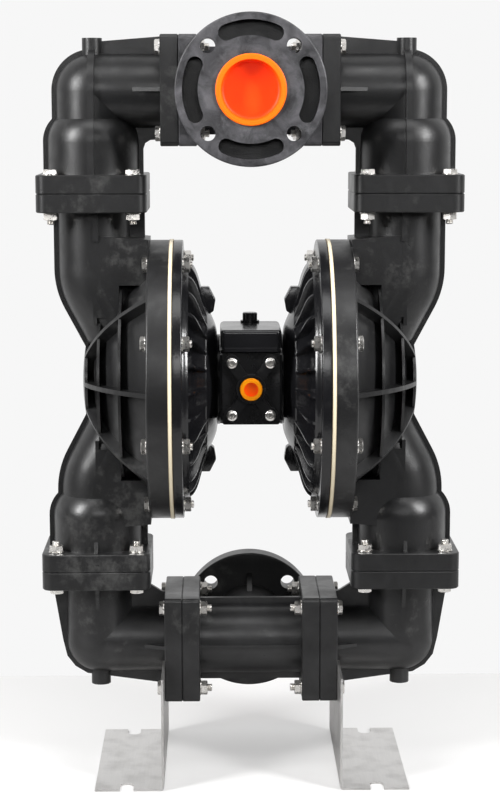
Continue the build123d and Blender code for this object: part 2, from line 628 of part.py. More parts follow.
# Outlines of the bell's back and of its fins: place along the rod, and radius
BELL_BACK = [
    (AIR_OUTER_X + 1.0, 158.0), (AIR_OUTER_X - 5.9, 146.5), (AIR_OUTER_X - 11.1, 134.3),
    (AIR_OUTER_X - 15.4, 121.7), (AIR_OUTER_X - 19.6, 109.1), (AIR_OUTER_X - 24.6, 96.8),
    (AIR_OUTER_X - 30.9, 85.1), (AIR_OUTER_X - 37.8, 73.7), (AIR_OUTER_X - 44.0, 62.0),
]
FIN_EDGE = [
    (AIR_OUTER_X + 1.0, 162.0), (AIR_OUTER_X - 10.3, 155.8), (AIR_OUTER_X - 17.0, 146.2),
    (AIR_OUTER_X - 20.9, 134.7), (AIR_OUTER_X - 23.9, 122.6), (AIR_OUTER_X - 27.3, 110.8),
    (AIR_OUTER_X - 31.2, 99.4), (AIR_OUTER_X - 35.8, 88.1), (AIR_OUTER_X - 41.0, 77.0),
]

with BuildPart() as air_cover:
    bar(Plane.YZ.offset(AIR_OUTER_X), (0, CHAMBER_Z), CHAMBER_R, AIR_FLANGE_T)
    chamber_turn([(AIR_INNER_X, CAVITY_R + 8), *BELL_BACK, (BLOCK_HALF_X, NECK_R)])
    # Cooling fins between the rim and the neck
    for turn in range(AIR_FINS):
        way = Vector(0, -1, 0).rotate(Axis.X, 360 / AIR_FINS * (turn + 0.5))
        with BuildSketch(Plane(origin=(0, 0, CHAMBER_Z), x_dir=(1, 0, 0), z_dir=Vector(1, 0, 0).cross(way))):
            Polygon(
                *FIN_EDGE,
                (AIR_OUTER_X - 32, 77),
                (AIR_OUTER_X - 9, CAVITY_R - 24),
                (AIR_OUTER_X + 3, CAVITY_R + 4),
                align=None,
            )
        extrude(amount=AIR_FIN_T / 2, both=True)
    # Lifting lugs over and under the neck
    for side in (1, -1):
        lug = [
            (AIR_OUTER_X - 24, 84),
            (AIR_OUTER_X - 24, 116),
            (AIR_OUTER_X - 36, 116),
            (AIR_OUTER_X - 44, 101),
            (AIR_OUTER_X - 40, 84),
            (AIR_OUTER_X - 36, 70),
        ]
        web([(x, CHAMBER_Z + side * r) for x, r in lug], 22)
    # Air chamber
    chamber_turn(
        [
            (AIR_INNER_X, CAVITY_R),
            (AIR_INNER_X - 6, CAVITY_R),
            (AIR_OUTER_X - 5.5, CAVITY_R - 24.6),
            (AIR_OUTER_X - 22, 86),
            (AIR_OUTER_X - 26, 76),
            (BLOCK_HALF_X + BELL_WALL, 70),
        ],
        mode=Mode.SUBTRACT,
    )
    bar(Plane.YZ.offset(BLOCK_HALF_X), (0, CHAMBER_Z), ROD_R + 1, BELL_WALL, Mode.SUBTRACT)
    bar(Plane.YZ.offset(BLOCK_HALF_X), (0, CHAMBER_Z - PILOT_DROP), PILOT_R + 0.5, BELL_WALL, Mode.SUBTRACT)
    with BuildSketch(Plane.YZ.offset(BLOCK_HALF_X)):
        with Locations((0, CHAMBER_Z)):
            with PolarLocations(COVER_SCREW_R, 4, start_angle=45):
                Circle(4.3)
    extrude(amount=BELL_WALL, mode=Mode.SUBTRACT)
    with BuildSketch(Plane.YZ.offset(BLOCK_HALF_X + BELL_WALL)):
        with Locations((0, CHAMBER_Z)):
            with PolarLocations(COVER_SCREW_R, 4, start_angle=45):
                Circle(7.5)
    extrude(amount=-9, mode=Mode.SUBTRACT)
    with BuildSketch(Plane.YZ.offset(AIR_INNER_X)):
        with Locations((0, CHAMBER_Z)):
            with PolarLocations(CHAMBER_BOLT_R, CHAMBER_BOLTS, start_angle=180 / CHAMBER_BOLTS):
                Circle(BOLT_HOLE_R)
    extrude(amount=-AIR_FLANGE_T, mode=Mode.SUBTRACT)
write_pair(air_cover, "air_cover")

# Socket screws that hold the air covers on the centre block
with BuildPart() as air_cover_screw:
    bar(Plane.YZ.offset(BLOCK_HALF_X + BELL_WALL - 9), (0, CHAMBER_Z), 6.5, 8)
    bar(Plane.YZ.offset(BLOCK_HALF_X + BELL_WALL - 9), (0, CHAMBER_Z), 4.0, -(BELL_WALL - 9 + 16))
with BuildPart() as air_cover_screws:
    for side in (1, -1):
        for turn in range(4):
            angle = radians(45 + 90 * turn)
            flip = 0 if side > 0 else 180
            with Locations(Location((0, COVER_SCREW_R * cos(angle), COVER_SCREW_R * sin(angle)), (0, 0, 0))):
                if flip:
                    add(mirror(air_cover_screw.part, about=Plane.YZ, mode=Mode.PRIVATE))
                else:
                    add(air_cover_screw.part)
write(air_cover_screws, "air_cover_screws")


# --- Diaphragms, plates and rod ----------------------------------------------------------------------------------
STUD_HOLE_R = ROD_STUD_R + 0.2

with BuildPart() as diaphragm:
    # Rim bead, a rolled convolution and a flat centre
    bar(Plane.YZ.offset(AIR_INNER_X), (0, CHAMBER_Z), CHAMBER_R + BEAD_PROUD, BEAD_T)
    bar(Plane.YZ.offset(AIR_INNER_X), (0, CHAMBER_Z), CAVITY_R, BEAD_T, Mode.SUBTRACT)
    half = MEMBRANE_T / 2
    roll_in = PLATE_R + 6
    roll_out = CAVITY_R - 6
    roll_mid = (roll_in + roll_out) / 2
    roll_h = 14.0
    with BuildSketch(Plane.XZ):
        with BuildLine():
            air_side = Polyline(
                chamber_point(CLAMP_X - half, STUD_HOLE_R), chamber_point(CLAMP_X - half, roll_in),
            )
            air_roll = ThreePointArc(
                chamber_point(CLAMP_X - half, roll_in),
                chamber_point(CLAMP_X + roll_h - half, roll_mid),
                chamber_point(CLAMP_X - half, roll_out),
            )
            rim = Polyline(
                chamber_point(CLAMP_X - half, roll_out), chamber_point(CLAMP_X - half, CAVITY_R + 2),
                chamber_point(CLAMP_X + half, CAVITY_R + 2), chamber_point(CLAMP_X + half, roll_out + 1),
            )
            fluid_roll = ThreePointArc(
                chamber_point(CLAMP_X + half, roll_out + 1),
                chamber_point(CLAMP_X + roll_h + half, roll_mid),
                chamber_point(CLAMP_X + half, roll_in - 1),
            )
            fluid_side = Polyline(
                chamber_point(CLAMP_X + half, roll_in - 1), chamber_point(CLAMP_X + half, STUD_HOLE_R),
                chamber_point(CLAMP_X - half, STUD_HOLE_R),
            )
        make_face()
    revolve(axis=ROD_AXIS)
    with BuildSketch(Plane.YZ.offset(AIR_INNER_X)):
        with Locations((0, CHAMBER_Z)):
            with PolarLocations(CHAMBER_BOLT_R, CHAMBER_BOLTS, start_angle=180 / CHAMBER_BOLTS):
                Circle(BOLT_HOLE_R)
    extrude(amount=BEAD_T, mode=Mode.SUBTRACT)
write_pair(diaphragm, "diaphragm")

INNER_PLATE_X = CLAMP_X - MEMBRANE_T / 2
OUTER_PLATE_X = CLAMP_X + MEMBRANE_T / 2

with BuildPart() as inner_plate:
    chamber_turn(
        [
            (INNER_PLATE_X, PLATE_R - 2),
            (INNER_PLATE_X - 2, PLATE_R),
            (INNER_PLATE_X - 5, PLATE_R),
            (INNER_PLATE_X - INNER_PLATE_T, PLATE_R - 36),
        ]
    )
    bar(Plane.YZ.offset(INNER_PLATE_X - INNER_PLATE_T), (0, CHAMBER_Z), STUD_HOLE_R, INNER_PLATE_T, Mode.SUBTRACT)
write_pair(inner_plate, "inner_plate")

with BuildPart() as outer_plate:
    chamber_turn(
        [
            (OUTER_PLATE_X, PLATE_R - 2),
            (OUTER_PLATE_X + 2, PLATE_R),
            (OUTER_PLATE_X + 6, PLATE_R),
            (OUTER_PLATE_X + OUTER_PLATE_T, PLATE_R - 44),
            (OUTER_PLATE_X + OUTER_PLATE_T + 6, 12),
        ]
    )
    bar(Plane.YZ.offset(OUTER_PLATE_X), (0, CHAMBER_Z), STUD_HOLE_R, OUTER_PLATE_T, Mode.SUBTRACT)
write_pair(outer_plate, "outer_plate")

with BuildPart() as diaphragm_rod:
    shoulder_x = INNER_PLATE_X - INNER_PLATE_T
    bar(Plane.YZ.offset(-shoulder_x), (0, CHAMBER_Z), ROD_R, 2 * shoulder_x)
    stud_x = OUTER_PLATE_X + OUTER_PLATE_T - 1
    bar(Plane.YZ.offset(-stud_x), (0, CHAMBER_Z), ROD_STUD_R, 2 * stud_x)
write(diaphragm_rod, "diaphragm_rod")


# --- Centre block and its slides ---------------------------------------------------------------------------------
BUSH_R = 19.0
BUSH_L = 14.0
SEAL_L = 4.0
ROD_BORE_R = ROD_R + 0.6

with BuildPart() as centre_block:
    with BuildSketch(Plane.YZ.offset(-BLOCK_HALF_X)):
        with Locations((0, CHAMBER_Z + (BLOCK_TOP - BLOCK_BOTTOM) / 2)):
            RectangleRounded(2 * BLOCK_HALF_Y, BLOCK_TOP + BLOCK_BOTTOM, 6)
    extrude(amount=2 * BLOCK_HALF_X)
    bar(Plane.YZ.offset(-BLOCK_HALF_X), (0, CHAMBER_Z), ROD_BORE_R, 2 * BLOCK_HALF_X, Mode.SUBTRACT)
    for side in (1, -1):
        bar(Plane.YZ.offset(side * BLOCK_HALF_X), (0, CHAMBER_Z), BUSH_R, -side * (BUSH_L + SEAL_L), Mode.SUBTRACT)
        with BuildSketch(Plane.YZ.offset(side * BLOCK_HALF_X)):
            with Locations((0, CHAMBER_Z)):
                with PolarLocations(COVER_SCREW_R, 4, start_angle=45):
                    Circle(4.05)
        extrude(amount=-side * 18, mode=Mode.SUBTRACT)
    bar(Plane.YZ.offset(-BLOCK_HALF_X), (0, CHAMBER_Z + SPOOL_Z), SPOOL_R + SLIDE_FIT, 2 * BLOCK_HALF_X, Mode.SUBTRACT)
    bar(Plane.YZ.offset(-BLOCK_HALF_X), (0, CHAMBER_Z - PILOT_DROP), PILOT_R + SLIDE_FIT, 2 * BLOCK_HALF_X, Mode.SUBTRACT)
    # Air way in from the front and out at the back, up to the spool's bore
    for side in (1, -1):
        front = Plane(origin=(0, side * BLOCK_HALF_Y, CHAMBER_Z), x_dir=(1, 0, 0), z_dir=(0, side, 0))
        bar(front, (0, 0), 9, -(BLOCK_HALF_Y - 30), Mode.SUBTRACT)
        upright = Plane(origin=(0, side * 37, CHAMBER_Z - 4), x_dir=(1, 0, 0), z_dir=(0, 0, 1))
        bar(upright, (0, 0), 7, SPOOL_Z + 10, Mode.SUBTRACT)
        cross = Plane(origin=(0, side * 38, CHAMBER_Z + SPOOL_Z), x_dir=(1, 0, 0), z_dir=(0, -side, 0))
        bar(cross, (0, 0), 5, 34, Mode.SUBTRACT)
write(centre_block, "centre_block")

with BuildPart() as rod_bushes:
    for side in (1, -1):
        bar(Plane.YZ.offset(side * BLOCK_HALF_X), (0, CHAMBER_Z), BUSH_R, -side * BUSH_L)
    bar(Plane.YZ.offset(-BLOCK_HALF_X), (0, CHAMBER_Z), ROD_R + ROD_FIT, 2 * BLOCK_HALF_X, Mode.SUBTRACT)
write(rod_bushes, "rod_bushes")

with BuildPart() as rod_seals:
    for side in (1, -1):
        bar(Plane.YZ.offset(side * (BLOCK_HALF_X - BUSH_L)), (0, CHAMBER_Z), BUSH_R, -side * SEAL_L)
    bar(Plane.YZ.offset(-BLOCK_HALF_X), (0, CHAMBER_Z), ROD_R + ROD_FIT, 2 * BLOCK_HALF_X, Mode.SUBTRACT)
write(rod_seals, "rod_seals")

with BuildPart() as air_valve_spool:
    # Three lands on a slimmer stem
    land = 12.0
    bar(Plane.YZ.offset(-SPOOL_L / 2), (0, CHAMBER_Z + SPOOL_Z), SPOOL_R - 4, SPOOL_L)
    for start in (-SPOOL_L / 2, -land / 2, SPOOL_L / 2 - land):
        bar(Plane.YZ.offset(start), (0, CHAMBER_Z + SPOOL_Z), SPOOL_R, land)
write(air_valve_spool, "air_valve_spool")

with BuildPart() as pilot_pin:
    bar(Plane.YZ.offset(-PILOT_L / 2), (0, CHAMBER_Z - PILOT_DROP), PILOT_R, PILOT_L)
    chamfer(pilot_pin.edges().filter_by(GeomType.CIRCLE), 1)
write(pilot_pin, "pilot_pin")

# Valve chest on top of the block, with the reset button's collar
BUTTON_Y = 1.0
COLLAR_R = 12.5
COLLAR_H = 2.6
BUTTON_SINK = 14.0  # how far the button reaches down into the chest

with BuildPart() as valve_chest:
    chest_mid = (CHEST_BACK - CHEST_FRONT) / 2
    block(Plane.XY.offset(CHEST_Z), (0, chest_mid), 2 * CHEST_HALF_X, CHEST_FRONT + CHEST_BACK, CHEST_H, 7)
    fillet(valve_chest.faces().sort_by(Axis.Z)[-1].edges(), 5)
    block(Plane.XY.offset(BLOCK_TOP_Z), (0, chest_mid - 1), 2 * CHEST_HALF_X - 5, CHEST_FRONT + CHEST_BACK + 6, CHEST_BASE_T, 5)
    bar(Plane.XY.offset(CHEST_TOP_Z - 6), (0, BUTTON_Y), COLLAR_R, 6 + COLLAR_H)
    bar(Plane.XY.offset(CHEST_TOP_Z - BUTTON_SINK - BUTTON_TRAVEL - 1), (0, BUTTON_Y), BUTTON_R + BUTTON_FIT,
        BUTTON_SINK + BUTTON_TRAVEL + 1 + COLLAR_H, Mode.SUBTRACT)
write(valve_chest, "valve_chest")

with BuildPart() as reset_button:
    bar(Plane.XY.offset(CHEST_TOP_Z - BUTTON_SINK), (0, BUTTON_Y), BUTTON_R, BUTTON_SINK + BUTTON_H)
    chamfer(reset_button.edges().group_by(Axis.Z)[-1], 1)
write(reset_button, "reset_button")

# Air inlet cover: a plate with corner bosses, and ribs that cross at the threaded boss
with BuildPart() as air_inlet_cover:
    cover_plane = Plane.XZ.offset(BLOCK_HALF_Y)
    block(cover_plane, (0, CHAMBER_Z), COVER_WIDTH, COVER_HEIGHT, COVER_PLATE_T, 3)
    screw_span = sqrt(COVER_SCREW_X**2 + COVER_SCREW_Z**2)
    with BuildSketch(cover_plane):
        with Locations((0, CHAMBER_Z)):
            Circle(AIR_BOSS_D / 2)
            with GridLocations(2 * COVER_SCREW_X, 2 * COVER_SCREW_Z, 2, 2):
                Circle(10)
        for end in (-1, 1):
            Polygon(
                (-COVER_SCREW_X - 5 * end, CHAMBER_Z - end * COVER_SCREW_Z + 5),
                (-COVER_SCREW_X + 5 * end, CHAMBER_Z - end * COVER_SCREW_Z - 5),
                (COVER_SCREW_X + 5 * end, CHAMBER_Z + end * COVER_SCREW_Z - 5),
                (COVER_SCREW_X - 5 * end, CHAMBER_Z + end * COVER_SCREW_Z + 5),
                align=None,
            )
    extrude(amount=COVER_T - 2)
    bar(cover_plane, (0, CHAMBER_Z), AIR_BOSS_D / 2, COVER_T)
    bar(cover_plane, (0, CHAMBER_Z), AIR_THREAD_R, COVER_T, Mode.SUBTRACT)
    bar(cover_plane.offset(COVER_T - AIR_MOUTH_DEPTH), (0, CHAMBER_Z), AIR_MOUTH_R, AIR_MOUTH_DEPTH, Mode.SUBTRACT)
    with BuildSketch(cover_plane):
        with Locations((0, CHAMBER_Z)):
            with GridLocations(2 * COVER_SCREW_X, 2 * COVER_SCREW_Z, 2, 2):
                Circle(3.3)
    extrude(amount=COVER_T, mode=Mode.SUBTRACT)
write(air_inlet_cover, "air_inlet_cover")

with BuildPart() as cover_screws:
    screw_plane = Plane.XZ.offset(COVER_FACE_Y - 2)
    for x in (-COVER_SCREW_X, COVER_SCREW_X):
        for z in (CHAMBER_Z - COVER_SCREW_Z, CHAMBER_Z + COVER_SCREW_Z):
            bar(screw_plane, (x, z), 7, 4)
            bar(screw_plane, (x, z), 3, -(COVER_T - 2))
    fillet(cover_screws.faces().filter_by(Axis.Y).group_by(Axis.Y)[0].edges(), 2.5)
write(cover_screws, "cover_screws")

# Exhaust cover and silencer at the back
SILENCER_R = 25.0
SILENCER_END = 128.0

with BuildPart() as exhaust_cover:
    back_plane = Plane(origin=(0, BLOCK_HALF_Y, 0), x_dir=(1, 0, 0), z_dir=(0, 1, 0))
    block(back_plane, (0, -CHAMBER_Z), COVER_WIDTH, COVER_HEIGHT, 8, 3)
    bar(back_plane, (0, -CHAMBER_Z), 9, 8, Mode.SUBTRACT)
write(exhaust_cover, "exhaust_cover")

with BuildPart() as silencer:
    silencer_plane = Plane(origin=(0, BLOCK_HALF_Y + 8, 0), x_dir=(1, 0, 0), z_dir=(0, 1, 0))
    silencer_l = SILENCER_END - BLOCK_HALF_Y - 8
    with BuildSketch(silencer_plane):
        with Locations((0, -CHAMBER_Z)):
            RegularPolygon(SILENCER_R - 3, 6)
    extrude(amount=8)
    bar(silencer_plane.offset(8), (0, -CHAMBER_Z), SILENCER_R, silencer_l - 8)
    fillet(silencer.edges().group_by(Axis.Y)[-1], 5)
    bar(silencer_plane, (0, -CHAMBER_Z), 9, silencer_l - 8, Mode.SUBTRACT)
write(silencer, "silencer")


# --- Ball valves -------------------------------------------------------------------------------------------------
def valve_seats(joint_z):
    """The two seats of one level: rings with a bevelled mouth under the ball."""
    with BuildPart() as seats:
        with BuildSketch(Plane.XZ):
            Polygon(
                (VALVE_X + SEAT_BORE_R, joint_z - SEAT_HALF_T),
                (VALVE_X + SEAT_R, joint_z - SEAT_HALF_T),
                (VALVE_X + SEAT_R, joint_z + SEAT_HALF_T),
                (VALVE_X + SEAT_BORE_R + SEAT_BEVEL, joint_z + SEAT_HALF_T),
                (VALVE_X + SEAT_BORE_R, joint_z + SEAT_HALF_T - SEAT_BEVEL),
                align=None,
            )
        revolve(axis=VALVE_AXIS)
        mirror(about=Plane.YZ)
    return seats


write(valve_seats(UPPER_JOINT_Z), "outlet_seats")
write(valve_seats(LOWER_JOINT_Z), "inlet_seats")

for level, joint_z in (("outlet", UPPER_JOINT_Z), ("inlet", LOWER_JOINT_Z)):
    with BuildPart() as ball:
        with Locations((VALVE_X, 0, joint_z + BALL_REST)):
            Sphere(BALL_R)
    write_pair(ball, f"{level}_ball")


# --- Feet --------------------------------------------------------------------------------------------------------
with BuildPart() as foot:
    # Bent sheet: the upright is bolted to the elbow's flange, and the sole turns outwards
    with BuildSketch(Plane.XZ) as foot_profile:
        with BuildLine():
            outer = FilletPolyline(
                (ELBOW_FACE_X, FOOT_TOP), (ELBOW_FACE_X, 0), (FOOT_OUT, 0), radius=FOOT_BEND_R,
            )
            Line((FOOT_OUT, 0), (FOOT_OUT, FOOT_T))
            inner = FilletPolyline(
                (FOOT_OUT, FOOT_T), (ELBOW_FACE_X + FOOT_T, FOOT_T), (ELBOW_FACE_X + FOOT_T, FOOT_TOP),
                radius=FOOT_BEND_R - FOOT_T,
            )
            Line((ELBOW_FACE_X + FOOT_T, FOOT_TOP), (ELBOW_FACE_X, FOOT_TOP))
        make_face()
    extrude(amount=FOOT_LENGTH / 2 - FOOT_SHIFT)
    extrude(foot_profile.sketch, amount=-(FOOT_LENGTH / 2 + FOOT_SHIFT))
    # Saddle that clears the elbow and its fin
    bar(Plane.YZ.offset(ELBOW_FACE_X), (0, INLET_Z), INLET_PIPE_R + FIN_PROUD + 1.5, FOOT_T, Mode.SUBTRACT)
    with BuildSketch(Plane.YZ.offset(ELBOW_FACE_X)):
        with Locations((0, INLET_Z - MANIFOLD_BOLTS / 2)):
            with GridLocations(MANIFOLD_BOLTS, 1, 2, 1):
                Circle(BOLT_HOLE_R)
    extrude(amount=FOOT_T, mode=Mode.SUBTRACT)
    # Open slots for the anchor bolts
    with BuildSketch(Plane.XY):
        for side in (1, -1):
            with Locations((FOOT_SLOT_X, FOOT_SHIFT + side * FOOT_LENGTH / 2)):
                SlotOverall(2 * FOOT_SLOT_DEPTH, FOOT_SLOT_W, rotation=90)
    extrude(amount=FOOT_T, mode=Mode.SUBTRACT)
write_pair(foot, "foot")


# --- Fasteners ---------------------------------------------------------------------------------------------------
def hex_bolt(length):
    """A hexagon bolt whose head stands on the XY plane and whose shank points down."""
    with BuildPart() as bolt:
        with BuildSketch(Plane.XY):
            RegularPolygon(HEX_AF / sqrt(3), 6)
        extrude(amount=HEAD_T)
        with BuildSketch(Plane.XY):
            Circle(BOLT_R)
        extrude(amount=-length)
    return bolt


def hex_nut():
    """A nut on the XY plane that reaches down."""
    with BuildPart() as nut:
        with BuildSketch(Plane.XY):
            RegularPolygon(HEX_AF / sqrt(3), 6)
            Circle(BOLT_R + 0.1, mode=Mode.SUBTRACT)
        extrude(amount=-NUT_T)
    return nut


def group(item, places):
    """Separate copies of one fastener."""
    with BuildPart() as copies:
        for place in places:
            add(item.part.moved(Location(place)))
    return copies


def fasten(name, places, grip):
    """Bolts whose heads stand on the given planes, and their nuts on the far side of the grip."""
    write(group(hex_bolt(grip + NUT_T + STUD_END), places), name + "_bolts")
    write(group(hex_nut(), [place.offset(-grip) for place in places]), name + "_nuts")


def square_places(centre, spacing, along, across):
    """The four corners of a bolt square, as planes whose normal points along the bolts' heads."""
    half = spacing / 2
    other = Vector(*along).cross(Vector(*across))
    return [
        Plane(origin=Vector(*centre) + Vector(*across) * (a * half) + other * (b * half), x_dir=across, z_dir=along)
        for a in (-1, 1)
        for b in (-1, 1)
    ]


valve_places = []
for side in (1, -1):
    top = (side * VALVE_X, 0, UPPER_JOINT_Z + VALVE_FLANGE_T)
    bottom = (side * VALVE_X, 0, LOWER_JOINT_Z - VALVE_FLANGE_T)
    valve_places += square_places(top, VALVE_BOLTS, (0, 0, 1), (1, 0, 0))
    valve_places += square_places(bottom, VALVE_BOLTS, (0, 0, -1), (1, 0, 0))
fasten("valve_joint", valve_places, 2 * VALVE_FLANGE_T)

outlet_places = []
inlet_places = []
for side in (1, -1):
    outlet_face = (side * ELBOW_FACE_X, 0, OUTLET_Z)
    outlet_places += square_places(outlet_face, MANIFOLD_BOLTS, (side, 0, 0), (0, 1, 0))
    inlet_face = (side * ELBOW_FACE_X, 0, INLET_Z)
    inlet_places += square_places(inlet_face, MANIFOLD_BOLTS, (side, 0, 0), (0, 1, 0))
upper_inlet_places = [place for place in inlet_places if place.origin.Z > INLET_Z]
foot_places = [place.offset(FOOT_T) for place in inlet_places if place.origin.Z < INLET_Z]
fasten("outlet_manifold", outlet_places, 2 * MANIFOLD_FLANGE_T)
fasten("inlet_manifold", upper_inlet_places, 2 * MANIFOLD_FLANGE_T)
fasten("foot", foot_places, 2 * MANIFOLD_FLANGE_T + FOOT_T)

chamber_places = []
for side in (1, -1):
    for turn in range(CHAMBER_BOLTS):
        angle = radians(360 / CHAMBER_BOLTS * (turn + 0.5))
        origin = (side * FLUID_OUTER_X, CHAMBER_BOLT_R * cos(angle), CHAMBER_Z + CHAMBER_BOLT_R * sin(angle))
        chamber_places.append(Plane(origin=origin, x_dir=(0, 1, 0), z_dir=(side, 0, 0)))
fasten("chamber", chamber_places, FLUID_FLANGE_T + BEAD_T + AIR_FLANGE_T)


# --- Transit plugs -----------------------------------------------------------------------------------------------
def port_plug(height, side):
    """A soft plug in a port: a lip on the flange's face, and a dished cup in the bore."""
    plane = Plane(origin=(0, side * PORT_FACE_Y, height), x_dir=(1, 0, 0), z_dir=(0, side, 0))
    with BuildPart() as plug:
        bar(plane, (0, 0), PLUG_LIP_R, PLUG_LIP_T)
        fillet(plug.edges().filter_by(GeomType.CIRCLE).sort_by(Axis.Y)[-1 if side > 0 else 0], 1.8)
        bar(plane, (0, 0), PORT_MOUTH_R - PLUG_FIT, -PLUG_DEPTH)
        bar(plane.offset(PLUG_LIP_T), (0, 0), PLUG_DISH_R, -PLUG_DEPTH + 2, Mode.SUBTRACT)
        fillet(plug.edges().filter_by(GeomType.CIRCLE).filter_by(
            lambda e: abs(e.radius - PLUG_DISH_R) < 0.01 and abs(e.center().Y) < PORT_FACE_Y), 5)
    return plug


write(port_plug(OUTLET_Z, -1), "outlet_plug")
write(port_plug(INLET_Z, 1), "inlet_plug")

with BuildPart() as air_inlet_plug:
    plug_plane = Plane(origin=(0, -COVER_FACE_Y, CHAMBER_Z), x_dir=(1, 0, 0), z_dir=(0, -1, 0))
    bar(plug_plane.offset(2.4), (0, 0), AIR_PLUG_R, -(2.4 + AIR_MOUTH_DEPTH - PLUG_FIT))
    chamfer(air_inlet_plug.edges().filter_by(GeomType.CIRCLE).sort_by(Axis.Y)[0], 1)
    bar(plug_plane.offset(2.4), (0, 0), 9, -4, Mode.SUBTRACT)
write(air_inlet_plug, "air_inlet_plug")
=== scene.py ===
"""Air operated double diaphragm pump: black moulded housings on stainless feet, with its ports plugged."""

import bmesh
import bpy
from math import atan2, cos, degrees, hypot, pi, radians, sin, sqrt
from mathutils import Euler, Matrix, Vector


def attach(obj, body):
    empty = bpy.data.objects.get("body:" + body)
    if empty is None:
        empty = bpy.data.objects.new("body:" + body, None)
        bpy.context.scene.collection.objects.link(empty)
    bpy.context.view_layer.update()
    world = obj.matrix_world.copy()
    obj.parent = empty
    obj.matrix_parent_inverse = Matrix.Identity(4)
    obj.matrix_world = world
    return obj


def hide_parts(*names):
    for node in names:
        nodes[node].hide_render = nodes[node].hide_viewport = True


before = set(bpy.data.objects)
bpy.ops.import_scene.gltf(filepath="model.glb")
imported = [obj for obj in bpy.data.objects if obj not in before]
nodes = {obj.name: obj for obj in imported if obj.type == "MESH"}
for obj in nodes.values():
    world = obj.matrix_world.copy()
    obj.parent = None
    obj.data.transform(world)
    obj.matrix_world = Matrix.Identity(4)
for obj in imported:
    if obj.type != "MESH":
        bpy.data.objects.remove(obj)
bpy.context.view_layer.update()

# Fluid covers and elbows
# The liquid end is injection moulded in black filled polypropylene. Its skin is satin, with cloudy flow
# marks, faint swirls where the melt met, a fine sand grain, and pale scuffs from handling.


def add_node(tree, kind, values=None, **settings):
    """Add a shader node, with its settings and the values of its inputs."""
    made = tree.nodes.new(kind)
    for setting, value in settings.items():
        setattr(made, setting, value)
    for socket, value in (values or {}).items():
        made.inputs[socket].default_value = value
    return made


def connect(tree, *links):
    """Link shader nodes: each link names a node and its output, then a node and its input."""
    for giver, output, taker, socket in links:
        tree.links.new(giver.outputs[output], taker.inputs[socket])


def new_group(name, inputs, outputs):
    """Start a shader node group with named inputs, each with its default, and named outputs."""
    group = bpy.data.node_groups.new(name, "ShaderNodeTree")
    for socket, (kind, value) in inputs.items():
        group.interface.new_socket(socket, in_out="INPUT", socket_type=kind).default_value = value
    for socket, kind in outputs.items():
        group.interface.new_socket(socket, in_out="OUTPUT", socket_type=kind)
    return group, group.nodes.new("NodeGroupInput"), group.nodes.new("NodeGroupOutput")


def new_finish(name, **values):
    """Start a material: the finish, its node tree and its shader."""
    finish = bpy.data.materials.new(name)
    finish.use_nodes = True
    shader = finish.node_tree.nodes["Principled BSDF"]
    for socket, value in values.items():
        shader.inputs[socket.replace("_", " ")].default_value = value
    return finish, finish.node_tree, shader


moulded_skin, skin_in, skin_out = new_group(
    "moulded_skin",
    {
        "Mark Scale": ("NodeSocketFloat", 14.0),
        "Dark": ("NodeSocketColor", (0.01, 0.01, 0.011, 1)),
        "Pale": ("NodeSocketColor", (0.03, 0.03, 0.032, 1)),
        "Scuffed": ("NodeSocketColor", (0.09, 0.09, 0.09, 1)),
        "Smooth": ("NodeSocketFloat", 0.34),
        "Rough": ("NodeSocketFloat", 0.52),
        "Grain Scale": ("NodeSocketFloat", 900.0),
    },
    {"Color": "NodeSocketColor", "Roughness": "NodeSocketFloat", "Height": "NodeSocketFloat"},
)
skin_place = add_node(moulded_skin, "ShaderNodeTexCoord")
cloud = add_node(moulded_skin, "ShaderNodeTexNoise", {"Detail": 7, "Roughness": 0.62, "Distortion": 0.5})
cloud_range = add_node(moulded_skin, "ShaderNodeMapRange", {"From Min": 0.36, "From Max": 0.7})
swirl = add_node(
    moulded_skin, "ShaderNodeTexWave", {"Scale": 5, "Distortion": 9, "Detail": 3, "Detail Scale": 2.2}
)
swirl_range = add_node(moulded_skin, "ShaderNodeMapRange", {"From Min": 0.7, "To Max": 0.3})
marks = add_node(moulded_skin, "ShaderNodeMath", operation="MAXIMUM")
tone = add_node(moulded_skin, "ShaderNodeMix", data_type="RGBA")
scuff = add_node(moulded_skin, "ShaderNodeTexNoise", {"Scale": 60, "Detail": 8, "Roughness": 0.7})
scuff_patch = add_node(moulded_skin, "ShaderNodeTexNoise", {"Scale": 9, "Detail": 2})
scuff_product = add_node(moulded_skin, "ShaderNodeMath", operation="MULTIPLY")
scuff_range = add_node(
    moulded_skin, "ShaderNodeMapRange", {"From Min": 0.31, "From Max": 0.42, "To Max": 0.45}
)
scuffed_tone = add_node(moulded_skin, "ShaderNodeMix", data_type="RGBA")
gloss_range = add_node(moulded_skin, "ShaderNodeMapRange")
grain = add_node(moulded_skin, "ShaderNodeTexNoise", {"Detail": 3})
for texture in (cloud, swirl, scuff, scuff_patch, grain):
    connect(moulded_skin, (skin_place, "Object", texture, "Vector"))
